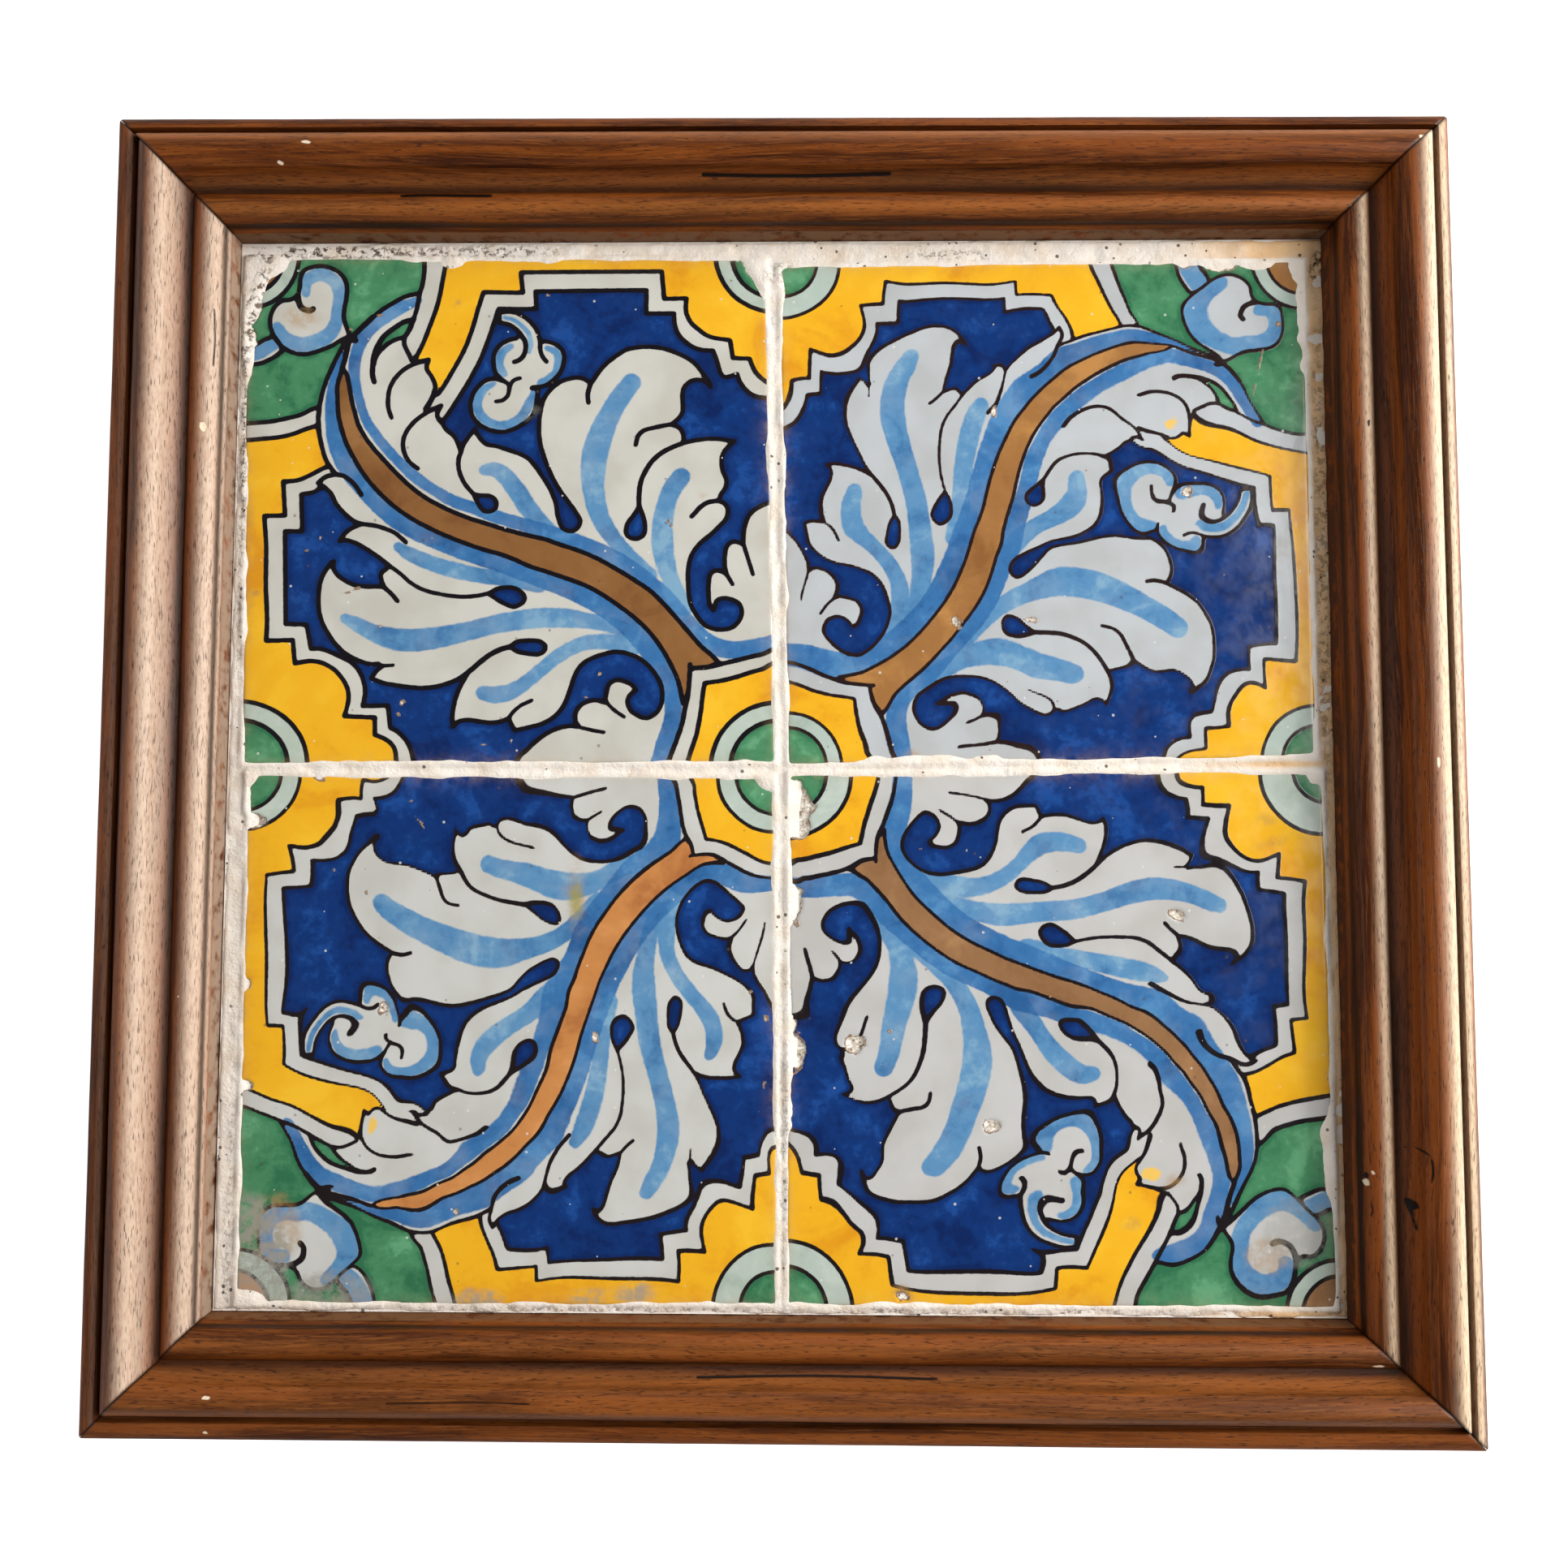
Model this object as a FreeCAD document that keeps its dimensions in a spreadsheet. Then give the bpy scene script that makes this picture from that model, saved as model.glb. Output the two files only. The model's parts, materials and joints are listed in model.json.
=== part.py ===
# Framed azulejo tile panel: four glazed tiles laid in plaster inside a
# mitred, moulded wooden frame with a thin board at the back.
# Lies flat, face up. X runs to the right of the picture, Y to its top, Z out of
# the glazed faces. The origin is under the middle of the frame, on the floor.
# All sizes in millimetres.
import FreeCAD, Part
import Sketcher
import os

doc = FreeCAD.newDocument("azulejo_panel")

# Driving dimensions, one named value each.
sheet = doc.addObject("Spreadsheet::Sheet", "Dims")
SIZES = [
    ("rail_width", 28.0),           # outer edge to sight edge
    ("rail_edge_height", 30.0),     # back to the top of the outer fillet
    ("edge_round", 1.2),            # worn outer arris
    ("fillet_width", 3.0),          # flat outer fillet with its round
    ("groove_wall", 0.4),           # slope of the groove on the fillet side
    ("groove_depth", 1.2),          # groove floor below the fillet
    ("groove_floor", 1.1),          # width of the groove floor
    ("flank_width", 1.0),           # slope up from the groove to the torus
    ("torus_rise", 2.9),            # start of the torus above the fillet
    ("torus_width", 8.9),           # the big round moulding
    ("torus_end_rise", 1.9),        # end of the torus above the fillet
    ("torus_fullness", 0.67),       # torus radius over torus width
    ("cove_width", 5.4),            # hollow below the torus
    ("cove_fullness", 2.0),         # cove radius over cove width
    ("valley_drop", 2.1),           # bottom of the hollow below the fillet
    ("bead_width", 5.7),            # small half round
    ("bead_end_drop", 3.7),         # inner foot of the bead below the fillet
    ("bead_fullness", 0.55),        # bead radius over bead width
    ("quirk_width", 0.3),           # narrow cut beside the bead
    ("lip_drop", 5.3),              # start of the flat lip below the fillet
    ("sight_drop", 6.2),            # sight edge below the fillet
    ("rabbet_width", 8.0),          # step at the back for the board
    ("board_thick", 3.5),
    ("board_play", 0.3),            # room for the board in the rabbet, each side
    ("bed_thick", 2.5),             # plaster under the tiles
    ("tile_width", 142.0),          # glazed face, left to right
    ("tile_length", 138.0),         # glazed face, bottom to top
    ("tile_thick", 12.0),
    ("tile_undercut", 0.8),         # how far each side leans in towards the back
    ("tile_corner_round", 1.6),     # upright corners of the tile
    ("glaze_edge_round", 0.9),      # rolled edge of the glaze
    ("tile_joint", 2.6),            # plaster joint between two tiles
    ("margin_side", 3.7),           # plaster between tiles and frame, left and right
    ("margin_end", 3.2),            # the same at the top and the bottom
    ("tile_proud", 0.6),            # glazed face above the plaster
    ("panel_turn", 0.4),            # the four tiles sit turned, degrees
    ("panel_shift", 0.2),           # the four tiles sit to the right of centre
    ("panel_drop", 1.4),            # the four tiles sit below centre
    ("slip_tl_down", 0.5),          # top left tile laid low
    ("slip_tr_left", 1.0),          # top right tile laid towards the middle
    ("slip_tr_down", 1.0),
    ("slip_bl_right", 1.0),         # bottom left tile laid towards the middle
    ("break_across", 9.0),          # broken corner of the top left tile
    ("break_down", 7.0),
    ("break_bite", 1.6),            # how far the break curves into the tile
    ("break_deep", 5.0),            # depth of the break below the glaze
]
# The frame is made to fit round the laid tiles.
FITTED = [
    ("frame_width", "=2 * (tile_width + margin_side + rail_width) + tile_joint"),
    ("frame_height", "=2 * (tile_length + margin_end + rail_width) + tile_joint"),
]
for row, (name, value) in enumerate(SIZES + FITTED, start=1):
    sheet.set("A%d" % row, name)
    sheet.set("B%d" % row, str(value))
    sheet.setAlias("B%d" % row, name)
doc.recompute()


def plane(body, role):
    """The origin plane of a body with this role."""
    for feature in body.Origin.OriginFeatures:
        if feature.Role == role:
            return feature
    raise ValueError(role)


def new_body(name):
    """An empty body with its label."""
    body = doc.addObject("PartDesign::Body", name)
    body.Label = name
    return body


def new_sketch(body, name, support, sub=""):
    """A sketch lying flat on an origin plane or on a face of its body."""
    sketch = body.newObject("Sketcher::SketchObject", name)
    sketch.AttachmentSupport = (support, [sub])
    sketch.MapMode = "FlatFace"
    return sketch


def pin(sketch, kind, index, point, tag, expression, first):
    """Hold one point of a sketch at an expression in named sizes."""
    made = sketch.addConstraint(Sketcher.Constraint(kind, -1, 1, index, point, first))
    sketch.renameConstraint(made, tag)
    sketch.setExpression("Constraints." + tag, expression)


def size_of(name):
    """The plain number of one named size."""
    return float(sheet.get(name))


def outline(sketch, corners, arcs=None):
    """Closed outline through named corners.

    corners is a list of (tag, x expression, y expression, x, y), the numbers
    being the first guess. arcs maps the index of a side to its
    (radius expression, radius, bulge side): +1 bulges to the left of travel.
    """
    arcs = arcs or {}
    count = len(corners)
    for i in range(count):
        first = FreeCAD.Vector(corners[i][3], corners[i][4], 0)
        last_corner = corners[(i + 1) % count]
        last = FreeCAD.Vector(last_corner[3], last_corner[4], 0)
        if i in arcs:
            radius, side = arcs[i][1], arcs[i][2]
            chord = last - first
            half = chord.Length / 2.0
            normal = FreeCAD.Vector(-chord.y, chord.x, 0)
            normal.normalize()
            rise = radius - (radius * radius - half * half) ** 0.5
            middle = (first + last) * 0.5 + normal * (rise * side)
            travel = (last, middle, first) if side > 0 else (first, middle, last)
            sketch.addGeometry(Part.Arc(*travel), False)
        else:
            sketch.addGeometry(Part.LineSegment(first, last), False)

    ends = [(2, 1) if i in arcs and arcs[i][2] > 0 else (1, 2) for i in range(count)]

    for i in range(count):
        after = (i + 1) % count
        sketch.addConstraint(
            Sketcher.Constraint("Coincident", i, ends[i][1], after, ends[after][0]))
    for i, (tag, across, along, x, y) in enumerate(corners):
        start = ends[i][0]
        if across == "0" and along == "0":
            sketch.addConstraint(Sketcher.Constraint("Coincident", i, start, -1, 1))
            continue
        if across == "0":
            sketch.addConstraint(Sketcher.Constraint("PointOnObject", i, start, -2))
        else:
            pin(sketch, "DistanceX", i, start, tag + "_x", across, x)
        if along == "0":
            sketch.addConstraint(Sketcher.Constraint("PointOnObject", i, start, -1))
        else:
            pin(sketch, "DistanceY", i, start, tag + "_y", along, y)
    for i, (radius, guess, side) in arcs.items():
        made = sketch.addConstraint(Sketcher.Constraint("Radius", i, guess))
        tag = "radius_" + corners[i][0]
        sketch.renameConstraint(made, tag)
        sketch.setExpression("Constraints." + tag, radius)


def dims(text):
    """Write size names in an expression with the name of the sheet."""
    for name, value in sorted(SIZES + FITTED, key=lambda pair: -len(pair[0])):
        text = text.replace("#" + name, "<<Dims>>." + name)
    return text


def guess(text):
    """First guess for an expression: its value with the sizes put in."""
    total, sign = 0.0, 1.0
    for word in text.split():
        if word == "+":
            sign = 1.0
        elif word == "-":
            sign = -1.0
        else:
            product = 1.0
            for factor in word.split("*"):
                negative = factor.startswith("-")
                factor = factor.lstrip("-")
                number = size_of(factor[1:]) if factor.startswith("#") else float(factor)
                product *= -number if negative else number
            total += sign * product
            sign = 1.0
    return total


def corner(tag, across, along):
    """A named corner from two sums of named sizes."""
    return (tag, dims(across), dims(along), guess(across), guess(along))


def radius_of(text, side):
    """An arc radius from a product of named sizes."""
    return (dims(text), guess(text), side)


# The moulding, read from its outer edge inwards.
U_GROOVE = "#fillet_width + #groove_wall"
U_FLOOR = U_GROOVE + " + #groove_floor"
U_TORUS = U_FLOOR + " + #flank_width"
U_COVE = U_TORUS + " + #torus_width"
U_BEAD = U_COVE + " + #cove_width"
U_QUIRK = U_BEAD + " + #bead_width"
U_LIP = U_QUIRK + " + #quirk_width"
TOP = "#rail_edge_height"


def rail(name, length_name):
    """One rail: moulded length with a rabbet behind and two mitred ends.

    The body has X from the outer edge inwards, Y along the rail, Z up.
    """
    body = new_body(name)
    profile = new_sketch(body, name + "_profile", plane(body, "XZ_Plane"))
    outline(profile, [
        corner("back", "0", "0"),
        corner("side", "0", TOP + " - #edge_round"),
        corner("fillet", "#edge_round", TOP),
        corner("groove", "#fillet_width", TOP),
        corner("floor_out", U_GROOVE, TOP + " - #groove_depth"),
        corner("floor_in", U_FLOOR, TOP + " - #groove_depth"),
        corner("torus", U_TORUS, TOP + " + #torus_rise"),
        corner("cove", U_COVE, TOP + " + #torus_end_rise"),
        corner("bead", U_BEAD, TOP + " - #valley_drop"),
        corner("quirk", U_QUIRK, TOP + " - #bead_end_drop"),
        corner("lip", U_LIP, TOP + " - #lip_drop"),
        corner("sight", "#rail_width", TOP + " - #sight_drop"),
        corner("wall", "#rail_width", "#board_thick"),
        corner("step", "#rail_width - #rabbet_width", "#board_thick"),
        corner("back_in", "#rail_width - #rabbet_width", "0"),
    ], {
        1: radius_of("#edge_round", 1),
        6: radius_of("#torus_width*#torus_fullness", 1),
        7: radius_of("#cove_width*#cove_fullness", -1),
        8: radius_of("#bead_width*#bead_fullness", 1),
    })
    doc.recompute()
    pad = body.newObject("PartDesign::Pad", name + "_length")
    pad.Profile = profile
    pad.SideType = "Symmetric"
    pad.setExpression("Length", dims("#" + length_name))
    doc.recompute()
    for end, sign in (("near", "-"), ("far", "+")):
        cut = new_sketch(body, name + "_mitre_" + end, plane(body, "XY_Plane"))
        half = "0.5*#" + length_name if sign == "+" else "-0.5*#" + length_name
        away = " + " if sign == "+" else " - "
        back = " - " if sign == "+" else " + "
        outline(cut, [
            corner("outside", "-1*#rail_width", half + away + "#rail_width"),
            corner("beyond", "2*#rail_width", half + away + "#rail_width"),
            corner("inside", "2*#rail_width", half + back + "2*#rail_width"),
        ])
        doc.recompute()
        pocket = body.newObject("PartDesign::Pocket", name + "_cut_" + end)
        pocket.Profile = cut
        pocket.Type = "ThroughAll"
        pocket.Reversed = True
        before = pad.Shape.Volume
        doc.recompute()
        if not pocket.Shape.Volume < before:
            raise ValueError(name + " mitre removes nothing")
    return body


def place(body, across, along, up, turn):
    """Set the turn about Z and tie the position to named sizes."""
    body.Placement = FreeCAD.Placement(
        FreeCAD.Vector(0, 0, 0), FreeCAD.Rotation(FreeCAD.Vector(0, 0, 1), turn))
    body.setExpression(".Placement.Base.x", dims(across))
    body.setExpression(".Placement.Base.y", dims(along))
    body.setExpression(".Placement.Base.z", dims(up))


rail_left = rail("rail_left", "frame_height")
place(rail_left, "-0.5 * #frame_width", "0", "0", 0)
rail_right = rail("rail_right", "frame_height")
place(rail_right, "0.5 * #frame_width", "0", "0", 180)
rail_bottom = rail("rail_bottom", "frame_width")
place(rail_bottom, "0", "-0.5 * #frame_height", "0", 90)
rail_top = rail("rail_top", "frame_width")
place(rail_top, "0", "0.5 * #frame_height", "0", -90)


# Back board, let into the rabbet.
back_board = new_body("back_board")
board_sketch = new_sketch(back_board, "board_outline", plane(back_board, "XY_Plane"))
HALF_W = "0.5*#frame_width - #rail_width + #rabbet_width - #board_play"
HALF_H = "0.5*#frame_height - #rail_width + #rabbet_width - #board_play"


def negative(text):
    """The same sum with every sign turned over."""
    swapped = text.replace(" - ", " @ ").replace(" + ", " - ").replace(" @ ", " + ")
    return "-" + swapped


def rectangle(sketch, half_w, half_h):
    """A rectangle about the origin from its half sizes."""
    outline(sketch, [
        corner("low_left", negative(half_w), negative(half_h)),
        corner("low_right", half_w, negative(half_h)),
        corner("high_right", half_w, half_h),
        corner("high_left", negative(half_w), half_h),
    ])


rectangle(board_sketch, HALF_W, HALF_H)
board_pad = back_board.newObject("PartDesign::Pad", "board_sheet")
board_pad.Profile = board_sketch
board_pad.setExpression("Length", dims("#board_thick"))
doc.recompute()


def tile(name, side_x, side_y, slip_x, slip_y, broken=False):
    """One tile: undercut sides, rounded corners, rolled glaze edge."""
    body = new_body(name)
    foot = new_sketch(body, name + "_foot", plane(body, "XY_Plane"))
    rectangle(foot, "0.5*#tile_width - #tile_undercut", "0.5*#tile_length - #tile_undercut")
    doc.recompute()
    slab = body.newObject("PartDesign::Pad", name + "_slab")
    slab.Profile = foot
    slab.setExpression("Length", dims("#tile_thick"))
    slab.setExpression("TaperAngle", dims("atan(#tile_undercut / #tile_thick)"))
    doc.recompute()
    upright = [
        "Edge%d" % (i + 1) for i, edge in enumerate(slab.Shape.Edges)
        if abs(edge.Vertexes[0].Z - edge.Vertexes[-1].Z) > 1.0
    ]
    corners = body.newObject("PartDesign::Fillet", name + "_corners")
    corners.Base = (slab, upright)
    corners.setExpression("Radius", dims("#tile_corner_round"))
    doc.recompute()
    high = max(vertex.Z for vertex in corners.Shape.Vertexes)
    rim = [
        "Edge%d" % (i + 1) for i, edge in enumerate(corners.Shape.Edges)
        if min(vertex.Z for vertex in edge.Vertexes) > high - 1e-4
    ]
    rolled = body.newObject("PartDesign::Fillet", name + "_rolled_edge")
    rolled.Base = (corners, rim)
    rolled.setExpression("Radius", dims("#glaze_edge_round"))
    doc.recompute()
    if broken:
        face = [
            "Face%d" % (i + 1) for i, f in enumerate(rolled.Shape.Faces)
            if min(vertex.Z for vertex in f.Vertexes) > high - 1e-4
        ]
        chip = new_sketch(body, name + "_break", rolled, face[0])
        outline(chip, [
            corner("far_out", "-0.5*#tile_width - #tile_joint", "0.5*#tile_length + #tile_joint"),
            corner("far_down", "-0.5*#tile_width - #tile_joint",
                   "0.5*#tile_length - #break_down"),
            corner("edge_low", "-0.5*#tile_width", "0.5*#tile_length - #break_down"),
            corner("bite_low", "-0.5*#tile_width + 0.5*#break_across",
                   "0.5*#tile_length - 0.5*#break_down - #break_bite"),
            corner("bite_high", "-0.5*#tile_width + 0.5*#break_across + #break_bite",
                   "0.5*#tile_length - 0.5*#break_down"),
            corner("edge_high", "-0.5*#tile_width + #break_across", "0.5*#tile_length"),
            corner("far_across", "-0.5*#tile_width + #break_across",
                   "0.5*#tile_length + #tile_joint"),
        ])
        doc.recompute()
        bite = body.newObject("PartDesign::Pocket", name + "_chip")
        bite.Profile = chip
        bite.setExpression("Length", dims("#break_deep"))
        before = rolled.Shape.Volume
        doc.recompute()
        if not bite.Shape.Volume < before - 1.0:
            raise ValueError("the broken corner removes nothing")
    body.Placement = FreeCAD.Placement(
        FreeCAD.Vector(0, 0, 0), FreeCAD.Rotation(FreeCAD.Vector(0, 0, 1), 1.0))
    body.setExpression(".Placement.Rotation.Angle", dims("#panel_turn * 1 deg"))
    half_x = side_x + "0.5 * (#tile_width + #tile_joint)"
    half_y = side_y + "0.5 * (#tile_length + #tile_joint)"
    turn = "(#panel_turn * 1 deg)"
    across = "(%s) * cos%s - (%s) * sin%s + #panel_shift" % (half_x, turn, half_y, turn)
    along = "(%s) * sin%s + (%s) * cos%s - #panel_drop" % (half_x, turn, half_y, turn)
    body.setExpression(".Placement.Base.x", dims(across + slip_x))
    body.setExpression(".Placement.Base.y", dims(along + slip_y))
    body.setExpression(".Placement.Base.z", dims("#board_thick + #bed_thick"))
    return body


tiles = [
    tile("tile_top_left", "-", "+", "", " - #slip_tl_down", broken=True),
    tile("tile_top_right", "+", "+", " - #slip_tr_left", " - #slip_tr_down"),
    tile("tile_bottom_left", "-", "-", " + #slip_bl_right", ""),
    tile("tile_bottom_right", "+", "-", "", ""),
]
doc.recompute()

# Plaster: poured into the opening of the frame round and under the tiles.
pour = doc.addObject("Part::Box", "plaster_pour")
pour.setExpression("Length", dims("#frame_width - 2 * #rail_width"))
pour.setExpression("Width", dims("#frame_height - 2 * #rail_width"))
pour.setExpression("Height", dims("#bed_thick + #tile_thick - #tile_proud"))
pour.setExpression(".Placement.Base.x", dims("#rail_width - 0.5 * #frame_width"))
pour.setExpression(".Placement.Base.y", dims("#rail_width - 0.5 * #frame_height"))
pour.setExpression(".Placement.Base.z", dims("#board_thick"))
beds = doc.addObject("Part::MultiFuse", "tile_beds")
beds.Shapes = tiles
plaster_bed = doc.addObject("Part::Cut", "plaster_bed")
plaster_bed.Base = pour
plaster_bed.Tool = beds
plaster_bed.Label = "plaster_bed"
doc.recompute()

# Every object must have come out clean before anything is written.
for thing in doc.Objects:
    if "Invalid" in thing.State or "Error" in thing.State:
        raise ValueError(thing.Name + " did not compute")
    if hasattr(thing, "Shape") and not thing.isDerivedFrom("App::OriginFeature"):
        if thing.isDerivedFrom("Sketcher::SketchObject"):
            continue
        if thing.Shape.isNull() or not thing.Shape.isValid():
            raise ValueError(thing.Name + " has no sound shape")

PIECES = [rail_left, rail_right, rail_bottom, rail_top, back_board] + tiles + [plaster_bed]
os.makedirs("parts", exist_ok=True)
for piece in PIECES:
    if len(piece.Shape.Solids) != 1:
        raise ValueError(piece.Label + " is not one solid")
    piece.Shape.exportStep("parts/" + piece.Label + ".step")
    box = piece.Shape.BoundBox
    print("%-18s %8.1f mm3  x %.2f %.2f  y %.2f %.2f  z %.2f %.2f" % (
        piece.Label, piece.Shape.Volume,
        box.XMin, box.XMax, box.YMin, box.YMax, box.ZMin, box.ZMax))
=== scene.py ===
"""Framed panel of four painted glazed tiles: the looks of every piece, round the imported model.

Lengths inside the functions are millimetres, as a frame maker writes them, and become metres
when a mesh is made. X runs to the right of the picture, Y to its top, Z out of the glaze.
"""

import json
import math

import bpy
import numpy as np
from mathutils import Matrix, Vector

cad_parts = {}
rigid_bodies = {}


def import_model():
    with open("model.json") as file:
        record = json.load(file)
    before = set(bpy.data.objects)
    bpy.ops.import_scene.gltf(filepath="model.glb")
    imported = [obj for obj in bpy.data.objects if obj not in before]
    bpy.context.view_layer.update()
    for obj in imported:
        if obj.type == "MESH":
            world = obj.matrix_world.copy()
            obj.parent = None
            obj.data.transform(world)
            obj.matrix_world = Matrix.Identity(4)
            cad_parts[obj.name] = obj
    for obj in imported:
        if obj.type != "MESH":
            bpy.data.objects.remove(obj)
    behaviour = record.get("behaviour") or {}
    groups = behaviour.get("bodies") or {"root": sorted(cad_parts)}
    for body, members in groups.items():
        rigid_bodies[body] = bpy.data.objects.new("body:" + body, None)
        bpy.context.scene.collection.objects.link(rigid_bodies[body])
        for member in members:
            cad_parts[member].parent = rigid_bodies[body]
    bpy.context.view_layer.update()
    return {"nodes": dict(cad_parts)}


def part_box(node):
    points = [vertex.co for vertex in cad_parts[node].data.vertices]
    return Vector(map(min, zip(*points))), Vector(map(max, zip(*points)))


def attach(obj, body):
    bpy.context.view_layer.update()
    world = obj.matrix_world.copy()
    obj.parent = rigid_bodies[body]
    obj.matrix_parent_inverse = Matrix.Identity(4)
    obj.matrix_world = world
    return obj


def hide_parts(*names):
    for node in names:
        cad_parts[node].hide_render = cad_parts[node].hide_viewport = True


for leftover in list(bpy.data.objects):
    bpy.data.objects.remove(leftover)
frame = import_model()

MM = 0.001


def box_mm(node):
    """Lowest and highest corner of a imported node, in millimetres."""
    low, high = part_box(node)
    return np.array(low) / MM, np.array(high) / MM


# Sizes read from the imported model
FRAME_WIDTH = box_mm("rail_top")[1][0] - box_mm("rail_top")[0][0]
FRAME_HEIGHT = box_mm("rail_left")[1][1] - box_mm("rail_left")[0][1]
RAIL_WIDTH = box_mm("rail_left")[1][0] - box_mm("rail_left")[0][0]
OPENING = box_mm("plaster_bed")[1][:2]
TILE_BACK = box_mm("tile_top_right")[0][2]
TILE_FACE = box_mm("tile_top_right")[1][2]
BOARD_DEPTH = box_mm("back_board")[1][2]
# How far the board's back lies inside the backs of the rails
BOARD_SUNK = 0.85

# The rebate behind the plaster, and the height from which the moulding is measured
RABBET_WIDTH = 8.0
TOP = 30.0

# The rail's moulding, from its outer edge inwards and up from its back:
# across, up, radius of the arc that ends there (plus bulges, minus hollows)
MOULDING = [
    (0.0, 0.0, 0.0),
    (0.0, TOP - 0.5, 0.0),
    (1.9, TOP + 0.7, 3.6),
    (2.9, TOP + 0.8, 0.0),
    (3.2, TOP - 1.0, 0.0),
    (4.4, TOP - 1.0, 0.0),
    (5.1, TOP + 1.9, 0.0),
    (14.6, TOP + 2.2, 6.1),
    (18.8, TOP - 3.9, -8.6),
    (26.9, TOP - 4.4, 4.5),
    (27.1, TOP - 5.6, 0.0),
    (RAIL_WIDTH, TOP - 7.6, 0.0),
    (RAIL_WIDTH, BOARD_DEPTH, 0.0),
    (RAIL_WIDTH - RABBET_WIDTH, BOARD_DEPTH, 0.0),
    (RAIL_WIDTH - RABBET_WIDTH, 0.0, 0.0),
]
# The runs of that outline that are plain, counted from the first point
PLAIN_RUNS = (0, 1, 12, 13, 14)
# Where dark stain and painted shade gather in the grooves: across, half width, strength, 1 if it
# shifts with the outer members
STAIN_AND_SHADE_BANDS = [(3.8, 0.7, 1.0, 1), (18.3, 1.3, 0.9, 0), (27.1, 0.3, 1.0, 0)]

# How far the moulding's outer members lie further in on the lower and left rails
MEMBER_SHIFT = {"left": 1.6, "bottom": 1.8, "right": 0.0, "top": 0.2}

# Steps along a rail, the gap left at a mitre, how deep a rail is uneven, how far its mitred edges
# are worn back, the heights between which the moulding's wear sets in, and how deep cracks are
RAIL_STEPS = 232
MITRE_GAP = 0.08
RAIL_UNEVEN = 0.10
MITRE_WORN = 0.30
WEAR_FROM = (22.0, 24.0)
CRACK_DEPTH = 0.15

# How far the frame's outer corners, and the corners of its opening, lie from their square place:
# top left, top right, bottom right, bottom left
FRAME_PULLS = ((0.02, 0.0), (-0.51, -1.18), (0.0, 0.75), (0.92, 1.02))
OPENING_PULLS = ((0.0, 0.3), (-1.3, 0.2), (-0.5, -0.3), (-0.5, -0.3))

# Tiles: sides, turn in the panel, corner radius, rolled edge of the glaze and its unevenness, how
# far the back is smaller all round, the net on the face with its finer rows at the edge, and half
# the side of the square that the motif is drawn in
TILE_WIDTH = 142.0
TILE_LENGTH = 138.0
TILE_TURN = math.radians(0.4)
TILE_CORNER = 1.6
GLAZE_ROLL = 0.9
GLAZE_UNEVEN = 0.07
TILE_UNDERCUT = 0.8
FACE_STEP = 0.57
EDGE_ROWS = np.array([0.0, 0.12, 0.35, 0.7])
MOTIF_HALF = 70.0

# Each tile with the quarter turns clockwise at which its motif is laid
TILES = [
    ("tile_top_left", 0),
    ("tile_top_right", 1),
    ("tile_bottom_right", 2),
    ("tile_bottom_left", 3),
]
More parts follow.
